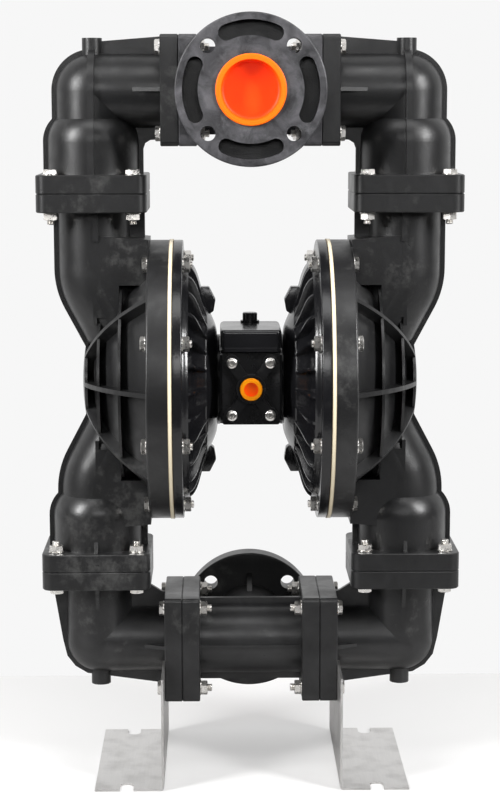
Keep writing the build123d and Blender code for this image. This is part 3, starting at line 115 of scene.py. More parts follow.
connect(
    moulded_skin,
    (skin_in, "Mark Scale", cloud, "Scale"),
    (cloud, "Fac", cloud_range, "Value"),
    (swirl, "Fac", swirl_range, "Value"),
    (cloud_range, "Result", marks, 0),
    (swirl_range, "Result", marks, 1),
    (marks, "Value", tone, "Factor"),
    (skin_in, "Dark", tone, "A"),
    (skin_in, "Pale", tone, "B"),
    (scuff, "Fac", scuff_product, 0),
    (scuff_patch, "Fac", scuff_product, 1),
    (scuff_product, "Value", scuff_range, "Value"),
    (scuff_range, "Result", scuffed_tone, "Factor"),
    (tone, "Result", scuffed_tone, "A"),
    (skin_in, "Scuffed", scuffed_tone, "B"),
    (scuffed_tone, "Result", skin_out, "Color"),
    (cloud_range, "Result", gloss_range, "Value"),
    (skin_in, "Rough", gloss_range, "To Min"),
    (skin_in, "Smooth", gloss_range, "To Max"),
    (gloss_range, "Result", skin_out, "Roughness"),
    (skin_in, "Grain Scale", grain, "Scale"),
    (grain, "Fac", skin_out, "Height"),
)


def add_surface(tree, shader, group, bump_distance, values):
    """Place an effect group in a material, to give its colour, roughness and bumps."""
    effect = add_node(tree, "ShaderNodeGroup", node_tree=group)
    for socket, value in values.items():
        effect.inputs[socket].default_value = value
    bump = add_node(tree, "ShaderNodeBump", {"Distance": bump_distance})
    connect(
        tree,
        (effect, "Color", shader, "Base Color"),
        (effect, "Roughness", shader, "Roughness"),
        (effect, "Height", bump, "Height"),
        (bump, "Normal", shader, "Normal"),
    )


def moulded_finish(name, dark, pale, scuffed, gloss, mark_scale, grain_scale, grain_height):
    """A moulded plastic whose tone and gloss drift. Gloss is its smoothest and its roughest value."""
    finish, tree, shader = new_finish(name)
    values = {
        "Mark Scale": mark_scale,
        "Dark": (*dark, 1),
        "Pale": (*pale, 1),
        "Scuffed": (*scuffed, 1),
        "Smooth": gloss[0],
        "Rough": gloss[1],
        "Grain Scale": grain_scale,
    }
    add_surface(tree, shader, moulded_skin, grain_height, values)
    return finish


def paint(finish, slot_name, *names):
    """Give CAD nodes one finish. Its slot_name is not used."""
    for name in names:
        nodes[name].data.materials.clear()
        nodes[name].data.materials.append(finish)


black_polypropylene = moulded_finish(
    "black_polypropylene",
    dark=(0.0025, 0.0025, 0.0028),
    pale=(0.016, 0.016, 0.0165),
    scuffed=(0.07, 0.07, 0.068),
    gloss=(0.27, 0.44),
    mark_scale=22,
    grain_scale=620,
    grain_height=0.00012,
)
paint(black_polypropylene, "black_plastic", "fluid_cover_left", "fluid_cover_right")
paint(black_polypropylene, "black_plastic", "outlet_elbow_left", "outlet_elbow_right")
paint(black_polypropylene, "black_plastic", "inlet_elbow_left", "inlet_elbow_right")

# Manifolds
# Moulded tees between the elbows, with a port flange at the front above and at the back below. The outlet
# tee is rubbed grey by handling, and painted shade darkens the pockets that lighten its flange.
# Painted shade: a band of depth behind the outlet port's face, where the flange's pockets are, is darkened
# to near black.
POCKET_SHADE_FRONT_Y = (-0.129, -0.12)  # behind the port's face, the dark of the pockets begins and is full
POCKET_SHADE_BACK_Y = (-0.096, -0.1)  # at the back of the flange, it is gone and is full
POCKET_PAINTED_SHADE = (0.003, 0.003, 0.0035)

paint(black_polypropylene, "black_plastic", "inlet_manifold")
worn_polypropylene_with_painted_shade = moulded_finish(
    "worn_polypropylene_with_painted_shade",
    dark=(0.008, 0.008, 0.0096),
    pale=(0.085, 0.083, 0.09),
    scuffed=(0.2, 0.2, 0.21),
    gloss=(0.34, 0.5),
    mark_scale=40,
    grain_scale=420,
    grain_height=0.0002,
)
worn_and_shaded_tree = worn_polypropylene_with_painted_shade.node_tree
worn_and_shaded_shader = worn_and_shaded_tree.nodes["Principled BSDF"]
worn_skin = worn_and_shaded_shader.inputs["Base Color"].links[0].from_node
# Painted shade: surfaces in a band of depth behind the port's face are blended to near black, darkening the
# flange's pockets.
pocket_shade_place = add_node(worn_and_shaded_tree, "ShaderNodeTexCoord")
pocket_shade_axes = add_node(worn_and_shaded_tree, "ShaderNodeSeparateXYZ")
pocket_shade_front = add_node(
    worn_and_shaded_tree, "ShaderNodeMapRange", {"From Min": POCKET_SHADE_FRONT_Y[0], "From Max": POCKET_SHADE_FRONT_Y[1]}
)
pocket_shade_back = add_node(
    worn_and_shaded_tree, "ShaderNodeMapRange", {"From Min": POCKET_SHADE_BACK_Y[0], "From Max": POCKET_SHADE_BACK_Y[1]}
)
pocket_shade_mask = add_node(worn_and_shaded_tree, "ShaderNodeMath", operation="MULTIPLY")
pocket_shade_tone = add_node(worn_and_shaded_tree, "ShaderNodeMix", data_type="RGBA")
pocket_shade_tone.inputs["B"].default_value = (*POCKET_PAINTED_SHADE, 1)
connect(
    worn_and_shaded_tree,
    (pocket_shade_place, "Object", pocket_shade_axes, "Vector"),
    (pocket_shade_axes, "Y", pocket_shade_front, "Value"),
    (pocket_shade_axes, "Y", pocket_shade_back, "Value"),
    (pocket_shade_front, "Result", pocket_shade_mask, 0),
    (pocket_shade_back, "Result", pocket_shade_mask, 1),
    (pocket_shade_mask, "Value", pocket_shade_tone, "Factor"),
    (worn_skin, "Color", pocket_shade_tone, "A"),
    (pocket_shade_tone, "Result", worn_and_shaded_shader, "Base Color"),
)
paint(worn_polypropylene_with_painted_shade, "black_plastic", "outlet_manifold")

# Valve seats and balls
# Each joint between an elbow and a fluid cover clamps a moulded seat, and a loose ball rests on it. The
# seats are polypropylene, and the balls are solid PTFE, which is waxy and slightly yellow.
paint(black_polypropylene, "black_plastic", "outlet_seats", "inlet_seats")
white_ptfe = moulded_finish(
    "white_ptfe",
    dark=(0.74, 0.73, 0.69),
    pale=(0.82, 0.81, 0.78),
    scuffed=(0.6, 0.57, 0.5),
    gloss=(0.3, 0.42),
    mark_scale=18,
    grain_scale=800,
    grain_height=0.00002,
)
paint(white_ptfe, "white_ptfe", "outlet_ball_left", "outlet_ball_right")
paint(white_ptfe, "white_ptfe", "inlet_ball_left", "inlet_ball_right")

# Diaphragms
# PTFE faced diaphragms, clamped at the rim between the fluid covers and the air covers. Their cream edge
# shows there as a thin line, which turns dark brown towards both sides where it meets the covers.
RIM_MIDDLE = 0.103  # distance of the rim's middle from the pump's middle
RIM_CREAM, RIM_STAINED, RIM_BROWN = (0.83, 0.74, 0.55), (0.72, 0.63, 0.45), (0.2, 0.14, 0.07)
RIM_CLEAN_HALF, RIM_BROWN_HALF = 0.0014, 0.0026

rim_finish, rim_tree, rim_shader = new_finish("diaphragm_rim", Roughness=0.42)
rim_place = add_node(rim_tree, "ShaderNodeTexCoord")
rim_axes = add_node(rim_tree, "ShaderNodeSeparateXYZ")
rim_side = add_node(rim_tree, "ShaderNodeMath", operation="ABSOLUTE")
rim_offset = add_node(rim_tree, "ShaderNodeMath", {1: RIM_MIDDLE}, operation="SUBTRACT")
rim_distance = add_node(rim_tree, "ShaderNodeMath", operation="ABSOLUTE")
rim_edge = add_node(
    rim_tree, "ShaderNodeMapRange", {"From Min": RIM_CLEAN_HALF, "From Max": RIM_BROWN_HALF}
)
rim_stain = add_node(rim_tree, "ShaderNodeTexNoise", {"Scale": 24, "Detail": 5})
rim_cream = add_node(rim_tree, "ShaderNodeMix", data_type="RGBA")
rim_cream.inputs["A"].default_value = (*RIM_CREAM, 1)
rim_cream.inputs["B"].default_value = (*RIM_STAINED, 1)
rim_color = add_node(rim_tree, "ShaderNodeMix", data_type="RGBA")
rim_color.inputs["B"].default_value = (*RIM_BROWN, 1)
connect(
    rim_tree,
    (rim_place, "Object", rim_axes, "Vector"),
    (rim_place, "Object", rim_stain, "Vector"),
    (rim_axes, "X", rim_side, 0),
    (rim_side, "Value", rim_offset, 0),
    (rim_offset, "Value", rim_distance, 0),
    (rim_distance, "Value", rim_edge, "Value"),
    (rim_stain, "Fac", rim_cream, "Factor"),
    (rim_cream, "Result", rim_color, "A"),
    (rim_edge, "Result", rim_color, "Factor"),
    (rim_color, "Result", rim_shader, "Base Color"),
)
paint(rim_finish, "white_ptfe", "diaphragm_left", "diaphragm_right")

# Diaphragm plates
# A plate clamps each diaphragm from either side, on the end of the rod. The plate on the liquid side is
# moulded in PTFE, and the one on the air side is a bare aluminium casting.
paint(white_ptfe, "white_ptfe", "outer_plate_left", "outer_plate_right")
metal_marks, metal_in, metal_out = new_group(
    "metal_marks",
    {
        "Stretch": ("NodeSocketVector", (1, 1, 1)),
        "Scale": ("NodeSocketFloat", 120.0),
        "Clean": ("NodeSocketColor", (0.62, 0.61, 0.59, 1)),
        "Stained": ("NodeSocketColor", (0.4, 0.38, 0.35, 1)),
        "Smooth": ("NodeSocketFloat", 0.22),
        "Rough": ("NodeSocketFloat", 0.4),
    },
    {"Color": "NodeSocketColor", "Roughness": "NodeSocketFloat", "Height": "NodeSocketFloat"},
)
metal_place = add_node(metal_marks, "ShaderNodeTexCoord")
metal_stretch = add_node(metal_marks, "ShaderNodeVectorMath", operation="MULTIPLY")
scratch = add_node(metal_marks, "ShaderNodeTexNoise", {"Detail": 5, "Roughness": 0.7})
stain = add_node(metal_marks, "ShaderNodeTexNoise", {"Scale": 26, "Detail": 6})
stain_range = add_node(metal_marks, "ShaderNodeMapRange", {"From Min": 0.45, "From Max": 0.75})
metal_tone = add_node(metal_marks, "ShaderNodeMix", data_type="RGBA")
metal_gloss = add_node(metal_marks, "ShaderNodeMapRange", {"From Min": 0.3, "From Max": 0.7})
connect(
    metal_marks,
    (metal_place, "Object", metal_stretch, 0),
    (metal_in, "Stretch", metal_stretch, 1),
    (metal_stretch, "Vector", scratch, "Vector"),
    (metal_in, "Scale", scratch, "Scale"),
    (metal_place, "Object", stain, "Vector"),
    (stain, "Fac", stain_range, "Value"),
    (stain_range, "Result", metal_tone, "Factor"),
    (metal_in, "Clean", metal_tone, "A"),
    (metal_in, "Stained", metal_tone, "B"),
    (metal_tone, "Result", metal_out, "Color"),
    (scratch, "Fac", metal_gloss, "Value"),
    (metal_in, "Smooth", metal_gloss, "To Min"),
    (metal_in, "Rough", metal_gloss, "To Max"),
    (metal_gloss, "Result", metal_out, "Roughness"),
    (scratch, "Fac", metal_out, "Height"),
)


def metal_finish(name, clean, stained, gloss, stretch, scale, scratch_height):
    """A bare metal with stains. Stretch is how much finer its scratches are across each axis."""
    finish, tree, shader = new_finish(name, Metallic=1)
    values = {
        "Stretch": stretch,
        "Scale": scale,
        "Clean": (*clean, 1),
        "Stained": (*stained, 1),
        "Smooth": gloss[0],
        "Rough": gloss[1],
    }
    add_surface(tree, shader, metal_marks, scratch_height, values)
    return finish


cast_aluminium = metal_finish(
    "cast_aluminium",
    clean=(0.62, 0.62, 0.63),
    stained=(0.42, 0.42, 0.43),
    gloss=(0.42, 0.62),
    stretch=(1, 1, 1),
    scale=420,
    scratch_height=0.0002,
)
paint(cast_aluminium, "plate_metal", "inner_plate_left", "inner_plate_right")

# Rod and air valve slides
# The diaphragm rod, the pilot pin and the spool of the air valve run across the pump. They are ground from
# stainless bar, so fine rings run round them.
ground_steel = metal_finish(
    "ground_steel",
    clean=(0.64, 0.64, 0.63),
    stained=(0.5, 0.49, 0.47),
    gloss=(0.12, 0.24),
    stretch=(20, 1, 1),
    scale=60,
    scratch_height=0.00001,
)
paint(ground_steel, "stainless_sheet", "diaphragm_rod", "pilot_pin", "air_valve_spool")

# Bushes, seals and silencer
# The rod runs in a bronze bush at each side of the centre block, with a rubber ring behind it. The silencer
# at the exhaust has the same dull black skin as the rubber.
bush_bronze = metal_finish(
    "bush_bronze",
    clean=(0.56, 0.37, 0.17),
    stained=(0.34, 0.22, 0.1),
    gloss=(0.25, 0.4),
    stretch=(12, 1, 1),
    scale=80,
    scratch_height=0.00002,
)
paint(bush_bronze, "bush_metal", "rod_bushes")
seal_rubber = moulded_finish(
    "seal_rubber",
    dark=(0.012, 0.012, 0.012),
    pale=(0.02, 0.02, 0.02),
    scuffed=(0.04, 0.04, 0.04),
    gloss=(0.55, 0.7),
    mark_scale=40,
    grain_scale=700,
    grain_height=0.00008,
)
paint(seal_rubber, "seal_rubber", "rod_seals", "silencer")

# Centre block, valve chest and button
# The air end is moulded in the same plastic from a polished mould, so it mirrors the room. The chest stands
# on the block, and the reset button slides in its lid.
gloss_black = moulded_finish(
    "gloss_black",
    dark=(0.005, 0.005, 0.006),
    pale=(0.009, 0.009, 0.01),
    scuffed=(0.02, 0.02, 0.02),
    gloss=(0.14, 0.26),
    mark_scale=10,
    grain_scale=260,
    grain_height=0.00012,
)
paint(gloss_black, "gloss_black", "centre_block", "valve_chest", "reset_button")

# Air inlet cover and exhaust cover
# Moulded covers on the block's front and back. The front one has ribs in a cross and a threaded boss for
# the air hose.
satin_black = moulded_finish(
    "satin_black",
    dark=(0.004, 0.004, 0.0045),
    pale=(0.012, 0.012, 0.013),
    scuffed=(0.05, 0.05, 0.05),
    gloss=(0.2, 0.32),
    mark_scale=30,
    grain_scale=900,
    grain_height=0.00003,
)
paint(satin_black, "black_plastic", "air_inlet_cover", "exhaust_cover")

# Air covers
# A glossy moulded bell between the centre block and each diaphragm. Its back is smooth near the neck, then
# fins cross a deep recess that ends at the clamping flange. A lug stands over and under the neck.
CHAMBER_Z = 0.524
FINS = 28
STEPS_PER_FIN = 8
# Outline of the wall: distance from the pump's middle, and radius about the rod
BELL_WALL = (
    (0.1005, 0.1500), (0.1005, 0.1842), (0.0998, 0.1850), (0.0888, 0.1850), (0.0880, 0.1842),
    (0.0880, 0.1600), (0.0845, 0.1590), (0.0800, 0.1570), (0.0762, 0.1538), (0.0735, 0.1500),
    (0.0712, 0.1455), (0.0694, 0.1407), (0.0678, 0.1357), (0.0665, 0.1306), (0.0650, 0.1254),
    (0.0636, 0.1203), (0.0621, 0.1152), (0.0605, 0.1101), (0.0587, 0.1048), (0.0569, 0.0995),
    (0.0549, 0.0944), (0.0526, 0.0890), (0.0502, 0.0836), (0.0477, 0.0779), (0.0458, 0.0728),
    (0.0444, 0.0675), (0.0437, 0.0625), (0.0434, 0.0600), (0.0400, 0.0600), (0.0400, 0.0162),
    (0.0580, 0.0162), (0.0580, 0.0700), (0.0620, 0.0760), (0.0660, 0.0860), (0.0825, 0.1254),
    (0.0945, 0.1500),
)
FLANGE_BACK = 0.0868  # the recess stays clear of the flange
RECESS_IN, RECESS_OUT = 0.0985, 0.1575
RECESS_DEPTH = 0.0125
RECESS_RUN_OUT = 0.024  # the recess rises to the bell's back over this distance
RECESS_STEP = 0.15  # share of the depth that is left at its inner end
LUG_CLEARANCE = 11  # degrees on both sides of a lug without a recess
# A lug is a block, measured along the rod and out from it, with four sloping sides cut on it
LUG_ALONG, LUG_OUT = (0.0455, 0.066), (0.086, 0.1235)
LUG_CUTS = (
    ((0.054, 0.1235), (0.0455, 0.107)),
    ((0.0455, 0.107), (0.048, 0.092)),
    ((0.048, 0.092), (0.056, 0.086)),
    ((0.056, 0.086), (0.066, 0.099)),
)
LUG_HALF = 0.011
LUG_ROUND = 0.0012
CUT_REACH = 0.000001  # a corner this near to a cut lies on it
MERGE = 0.000005  # points closer than this are one


def take(piece):
    """Select one piece alone, and make it the active one."""
    bpy.ops.object.select_all(action="DESELECT")
    piece.select_set(True)
    bpy.context.view_layer.objects.active = piece


def turned(name, rings, steps, closed=True):
    """A circle drawn from ring to ring along the Z axis. It is capped, or else its ends are joined."""
    bpy.ops.object.select_all(action="DESELECT")
    height, radius = rings[0]
    bpy.ops.mesh.primitive_circle_add(
        vertices=steps, radius=radius, location=(0, 0, height), fill_type="NGON" if closed else "NOTHING"
    )
    piece = bpy.context.object
    piece.name = name
    bpy.ops.object.transform_apply()
    bpy.ops.object.mode_set(mode="EDIT")
    bpy.ops.mesh.select_all(action="SELECT")
    for next_height, next_radius in rings[1:] if closed else (*rings[1:], rings[0]):
        bpy.ops.mesh.extrude_region_move(TRANSFORM_OT_translate={"value": (0, 0, next_height - height)})
        grow = next_radius / radius
        bpy.ops.transform.resize(value=(grow, grow, 1), center_override=(0, 0, next_height))
        height, radius = next_height, next_radius
    bpy.ops.mesh.select_all(action="SELECT")
    bpy.ops.mesh.remove_doubles(threshold=MERGE)
    bpy.ops.mesh.normals_make_consistent(inside=False)
    bpy.ops.object.mode_set(mode="OBJECT")
    return piece


def in_recess(middle):
    """Whether a face of the bell lies between two fins, clear of the lugs."""
    turn = degrees(atan2(middle.y, middle.x)) % 360
    beside_lug = min(turn, abs(turn - 180), 360 - turn) < LUG_CLEARANCE
    between_fins = 1 / STEPS_PER_FIN < turn * FINS / 360 % 1
    in_reach = RECESS_IN < hypot(middle.x, middle.y) < RECESS_OUT and middle.z < FLANGE_BACK
    return in_reach and between_fins and not beside_lug


bell = turned("bell", BELL_WALL, FINS * STEPS_PER_FIN, closed=False)
bpy.ops.object.mode_set(mode="EDIT")
bpy.ops.mesh.select_mode(type="FACE")
bpy.ops.mesh.select_all(action="DESELECT")
bell_shape = bmesh.from_edit_mesh(bell.data)
for face in bell_shape.faces:
    face.select = in_recess(face.calc_center_median())
bmesh.update_edit_mesh(bell.data)
bpy.ops.mesh.extrude_region_move()
bell_shape = bmesh.from_edit_mesh(bell.data)
floors = [corner for corner in bell_shape.verts if corner.select]  # they sink ring by ring
bpy.ops.mesh.select_mode(type="VERT")
for ring_height, ring_radius in BELL_WALL:
    bpy.ops.mesh.select_all(action="DESELECT")
    ring = [
        corner
        for corner in floors
        if hypot(corner.co.z - ring_height, hypot(corner.co.x, corner.co.y) - ring_radius) < MERGE
    ]
    for corner in ring:
        corner.select = True
    bmesh.update_edit_mesh(bell.data)
    if ring:
        rise = min(1, (ring_radius - RECESS_IN) / RECESS_RUN_OUT)
        depth = RECESS_DEPTH * max(RECESS_STEP, sin(rise * pi / 2))
        floors = [corner for corner in floors if corner not in ring]
        bpy.ops.transform.translate(value=(0, 0, depth))
bpy.ops.mesh.select_mode(type="FACE")
bpy.ops.mesh.select_all(action="SELECT")
bpy.ops.mesh.normals_make_consistent(inside=False)
bpy.ops.object.mode_set(mode="OBJECT")

for side in (1, -1):
    middle = (side * sum(LUG_OUT) / 2, 0, sum(LUG_ALONG) / 2)
    size = (LUG_OUT[1] - LUG_OUT[0], 2 * LUG_HALF, LUG_ALONG[1] - LUG_ALONG[0])
    bpy.ops.object.select_all(action="DESELECT")
    bpy.ops.mesh.primitive_cube_add(size=1, location=middle, scale=size)
    lug = bpy.context.object
    bpy.ops.object.transform_apply()
    bpy.ops.object.mode_set(mode="EDIT")
    for (along, out), (next_along, next_out) in LUG_CUTS:
        bpy.ops.mesh.select_all(action="SELECT")
        away = (side * (along - next_along), 0, next_out - out)
        bpy.ops.mesh.bisect(
            plane_co=(side * out, 0, along),
            plane_no=away,
            use_fill=True,
            clear_outer=True,
            threshold=CUT_REACH,
        )
    bpy.ops.mesh.select_all(action="SELECT")
    bpy.ops.mesh.normals_make_consistent(inside=False)
    bpy.ops.mesh.bevel(offset=LUG_ROUND, segments=2)
    bpy.ops.object.mode_set(mode="OBJECT")
    lug.select_set(True)
    bell.select_set(True)
    bpy.context.view_layer.objects.active = bell
    bpy.ops.object.join()


def copy_at(piece, place):
    """A copy of a piece with its own mesh, moved to a place that becomes part of the mesh."""
    twin = piece.copy()
    twin.data = piece.data.copy()
    bpy.context.scene.collection.objects.link(twin)
    twin.matrix_world = place
    take(twin)
    bpy.context.view_layer.update()
    bpy.ops.object.transform_apply(location=True, rotation=True, scale=True)
    return twin


take(bell)
bpy.ops.object.modifier_add(type="BEVEL")
bell.modifiers["Bevel"].width = 0.0005
bell.modifiers["Bevel"].segments = 2
bell.modifiers["Bevel"].limit_method = "ANGLE"
bell.modifiers["Bevel"].angle_limit = radians(40)
bpy.ops.object.modifier_apply(modifier="Bevel")
bpy.ops.object.shade_smooth_by_angle(angle=radians(28))
# The bell's own Z axis is laid along the rod, which puts the lugs at the top and the bottom
lay_down = Matrix(((0, 0, 1, 0), (0, 1, 0, 0), (-1, 0, 0, 0), (0, 0, 0, 1)))
to_right = Matrix.Translation((0, 0, CHAMBER_Z)) @ lay_down
to_left = Matrix.Rotation(pi, 4, "Z") @ to_right
for side, place in (("right", to_right), ("left", to_left)):
    air_cover = copy_at(bell, place)
    air_cover.name = f"air_cover_bell_{side}"
    air_cover.data.materials.append(gloss_black)
    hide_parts(f"air_cover_{side}")
    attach(air_cover, "pump")
bpy.data.objects.remove(bell)

# Feet
# Each foot is a sheet of stainless steel, bent once and bolted to an elbow's flange. Its faces keep the
# rolling grain of the sheet, with dull handling stains, and its open slots take the anchor bolts.
sheet_steel = metal_finish(
    "sheet_steel",
    clean=(0.66, 0.65, 0.64),
    stained=(0.5, 0.49, 0.48),
    gloss=(0.3, 0.48),
    stretch=(1, 0.06, 1),
    scale=500,
    scratch_height=0.00004,
)
paint(sheet_steel, "stainless_sheet", "foot_left", "foot_right")

# Hexagon bolts, washers and nuts
# Plain M10 stainless fasteners, each bolt with a flat washer under its head and another under its nut. The
# corners are turned off at 30 degrees, and the rolled thread stands out of the nut.
HEX_CORNER = 0.017 / sqrt(3)  # half the width across corners
CHAMFER_R = 0.0082  # the circle that turning leaves on the end of a hexagon
CHAMFER_SLOPE = sqrt(3)
WASHER_R = 0.0102
WASHER_T = 0.0016
WASHER_ROUND, WASHER_BURR = 0.0003, 0.0002  # its rounded upper edge and its sharper lower one
HEAD_T = 0.0054
NUT_T = 0.0098  # with its washer
SHANK_R = 0.005
THREAD_ROOT_R = 0.0043
PITCH = 0.0015
THREAD_START = 0.004  # the thread begins this far inside the grip
THREAD_TAIL = 0.0008
POINT = 0.0006  # length of the chamfer at the bolt's end
THREAD_OUT, CHAMBER_THREAD_OUT = 0.006, 0.0035
OUTLET_Z, INLET_Z = 0.903, 0.169
VALVE_X, VALVE_BOLT = 0.2045, 0.053  # the ball valves, and half the spacing of their flanges' bolts
UPPER_HEADS_Z, LOWER_HEADS_Z, VALVE_GRIP = 0.796, 0.252, 0.048
MANIFOLD_BOLT, MANIFOLD_HEADS_X, MANIFOLD_GRIP = 0.0545, 0.115, 0.047
FOOT_HEADS_X, FOOT_GRIP = 0.118, 0.05
CHAMBER_BOLTS, CHAMBER_BOLT_R, CHAMBER_HEADS_X, CHAMBER_GRIP = 8, 0.17, 0.133, 0.045

bolt_steel = metal_finish(
    "bolt_steel",
    clean=(0.8, 0.78, 0.75),
    stained=(0.6, 0.575, 0.54),
    gloss=(0.22, 0.38),
    stretch=(1, 1, 1),
    scale=160,
    scratch_height=0.00001,
)


def cut_with(piece, tool, operation):
    """Cut a piece with another shape, which is then removed."""
    take(piece)
    bpy.ops.object.modifier_add(type="BOOLEAN")
    piece.modifiers["Boolean"].operation = operation
    piece.modifiers["Boolean"].object = tool
    bpy.ops.object.modifier_apply(modifier="Boolean")
    bpy.data.objects.remove(tool)


def hexagon(bottom, top, both_ends):
    """A hexagon with its corners turned off at the top, or at both ends."""
    middle = (bottom + top) / 2
    bpy.ops.object.select_all(action="DESELECT")
    bpy.ops.mesh.primitive_cylinder_add(
        vertices=6, radius=HEX_CORNER, depth=top - bottom, location=(0, 0, middle)
    )
    block = bpy.context.object
    bpy.ops.object.transform_apply()
    widest = CHAMFER_R + (top - middle) * CHAMFER_SLOPE
    rings = [(bottom, CHAMFER_R + (top - bottom) * CHAMFER_SLOPE), (top, CHAMFER_R)]
    if both_ends:
        rings = [(bottom, CHAMFER_R), (middle, widest), (top, CHAMFER_R)]
    cut_with(block, turned("former", rings, 36), "INTERSECT")
    return block


def washer(start):
    """A flat washer with eased edges."""
    end = start + WASHER_T
    rings = [(start, WASHER_R - WASHER_BURR), (start + WASHER_BURR, WASHER_R)]
    rings += [(end - WASHER_ROUND, WASHER_R), (end, WASHER_R - WASHER_ROUND)]
    return turned("washer", rings, 32)


def joined(name, *shapes):
    """Shapes made one mesh."""
    bpy.ops.object.select_all(action="DESELECT")
    for shape in shapes:
        shape.select_set(True)
    bpy.context.view_layer.objects.active = shapes[0]
    bpy.ops.object.join()
    shapes[0].name = name
    bpy.ops.object.shade_smooth_by_angle(angle=radians(25))
    return shapes[0]


def hex_bolt(grip, thread_out):
    """A bolt whose washer lies on the XY plane. Its shank points down through the grip and the nut."""
    end = -(grip + NUT_T + thread_out)
    depth = THREAD_START - grip
    rings = [(0, SHANK_R), (depth, SHANK_R)]
    while depth - PITCH > end + THREAD_TAIL:
        rings += [(depth - PITCH / 2, THREAD_ROOT_R), (depth - PITCH, SHANK_R)]
        depth -= PITCH
    rings += [(end + POINT, SHANK_R - POINT / 2), (end, THREAD_ROOT_R - POINT)]
    return joined("bolt", hexagon(WASHER_T, WASHER_T + HEAD_T, False), washer(0), turned("shank", rings, 20))


def hex_nut():
    """A nut that hangs under the XY plane, below its washer."""
    return joined("nut", hexagon(-NUT_T, -WASHER_T, True), washer(-WASHER_T))


def facing(x, y, z, way):
    """The place of a fastener: its spot, and the way that its head points."""
    return Matrix.Translation((x, y, z)) @ Vector(way).to_track_quat("Z", "Y").to_matrix().to_4x4()


def fit(node, fastener, places):
    """Set copies of one fastener in their places, as one piece that stands for a CAD node."""
    piece = joined(f"{node}_set", *[copy_at(fastener, place) for place in places])
    piece.data.materials.append(bolt_steel)
    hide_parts(node)
    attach(piece, "pump")
    bpy.data.objects.remove(fastener)


def bolt_up(kind, grip, places, thread_out=THREAD_OUT):
    """Bolts in their places, and their nuts across the grip."""
    fit(f"{kind}_bolts", hex_bolt(grip, thread_out), places)
    fit(f"{kind}_nuts", hex_nut(), [place @ Matrix.Translation((0, 0, -grip)) for place in places])


corners = [(a, b) for a in (-1, 1) for b in (-1, 1)]
valve_places = []
for side in (-1, 1):
    for a, b in corners:
        x, y = side * VALVE_X + a * VALVE_BOLT, b * VALVE_BOLT
        valve_places.append(facing(x, y, UPPER_HEADS_Z, (0, 0, 1)))
        valve_places.append(facing(x, y, LOWER_HEADS_Z, (0, 0, -1)))
bolt_up("valve_joint", VALVE_GRIP, valve_places)
outlet_places = [
    facing(side * MANIFOLD_HEADS_X, a * MANIFOLD_BOLT, OUTLET_Z + b * MANIFOLD_BOLT, (side, 0, 0))
    for side in (-1, 1)
    for a, b in corners
]
bolt_up("outlet_manifold", MANIFOLD_GRIP, outlet_places)
inlet_places = [
    facing(side * MANIFOLD_HEADS_X, a * MANIFOLD_BOLT, INLET_Z + MANIFOLD_BOLT, (side, 0, 0))
    for side in (-1, 1)
    for a in (-1, 1)
]
bolt_up("inlet_manifold", MANIFOLD_GRIP, inlet_places)
foot_places = [
    facing(side * FOOT_HEADS_X, a * MANIFOLD_BOLT, INLET_Z - MANIFOLD_BOLT, (side, 0, 0))
    for side in (-1, 1)
    for a in (-1, 1)
]
bolt_up("foot", FOOT_GRIP, foot_places)
rim_turns = [2 * pi * (turn + 0.5) / CHAMBER_BOLTS for turn in range(CHAMBER_BOLTS)]
chamber_places = [
    facing(
        side * CHAMBER_HEADS_X,
        CHAMBER_BOLT_R * cos(turn),
        CHAMBER_Z + CHAMBER_BOLT_R * sin(turn),
        (side, 0, 0),
    )
    for side in (-1, 1)
    for turn in rim_turns
]
bolt_up("chamber", CHAMBER_GRIP, chamber_places, CHAMBER_THREAD_OUT)
paint(bolt_steel, "stainless_bolts", "air_cover_screws")

# Cover screws
# Four stainless screws hold the air inlet cover. Each has a round domed head with a hexagon socket.
SCREW_X, SCREW_Z, SCREW_FACE_Y = 0.02475, 0.034, -0.102
# Outline of a screw: height above the boss, and radius
SCREW = (
    (-0.014, 0.003), (0, 0.003), (0.0001, 0.007), (0.0018, 0.007), (0.0028, 0.0066),
    (0.0035, 0.0056), (0.004, 0.0038),
)
SOCKET_CORNER, SOCKET_CUT, SOCKET_MIDDLE = 0.0029, 0.005, 0.0038

screw = turned("screw", SCREW, 36)
bpy.ops.object.select_all(action="DESELECT")
bpy.ops.mesh.primitive_cylinder_add(
    vertices=6, radius=SOCKET_CORNER, depth=SOCKET_CUT, location=(0, 0, SOCKET_MIDDLE)
)
cut_with(screw, bpy.context.object, "DIFFERENCE")
screw_places = [facing(a * SCREW_X, SCREW_FACE_Y, CHAMBER_Z + b * SCREW_Z, (0, -1, 0)) for a, b in corners]
fit("cover_screws", screw, screw_places)

# Transit plugs
# Soft orange polyethylene plugs keep dirt out of the ports until the pump is piped up. Their dished faces
# are deeper in colour than their rims, and carry the faint rings of the turned mould.
PLUG_RING, PLUG_DISH, PLUG_DISH_R = (1.0, 0.15, 0.002), (0.95, 0.05, 0.0), 0.0375
AIR_PLUG_RING, AIR_PLUG_DISH, AIR_PLUG_DISH_R = (1.0, 0.32, 0.0), (1.0, 0.1, 0.0), 0.0095


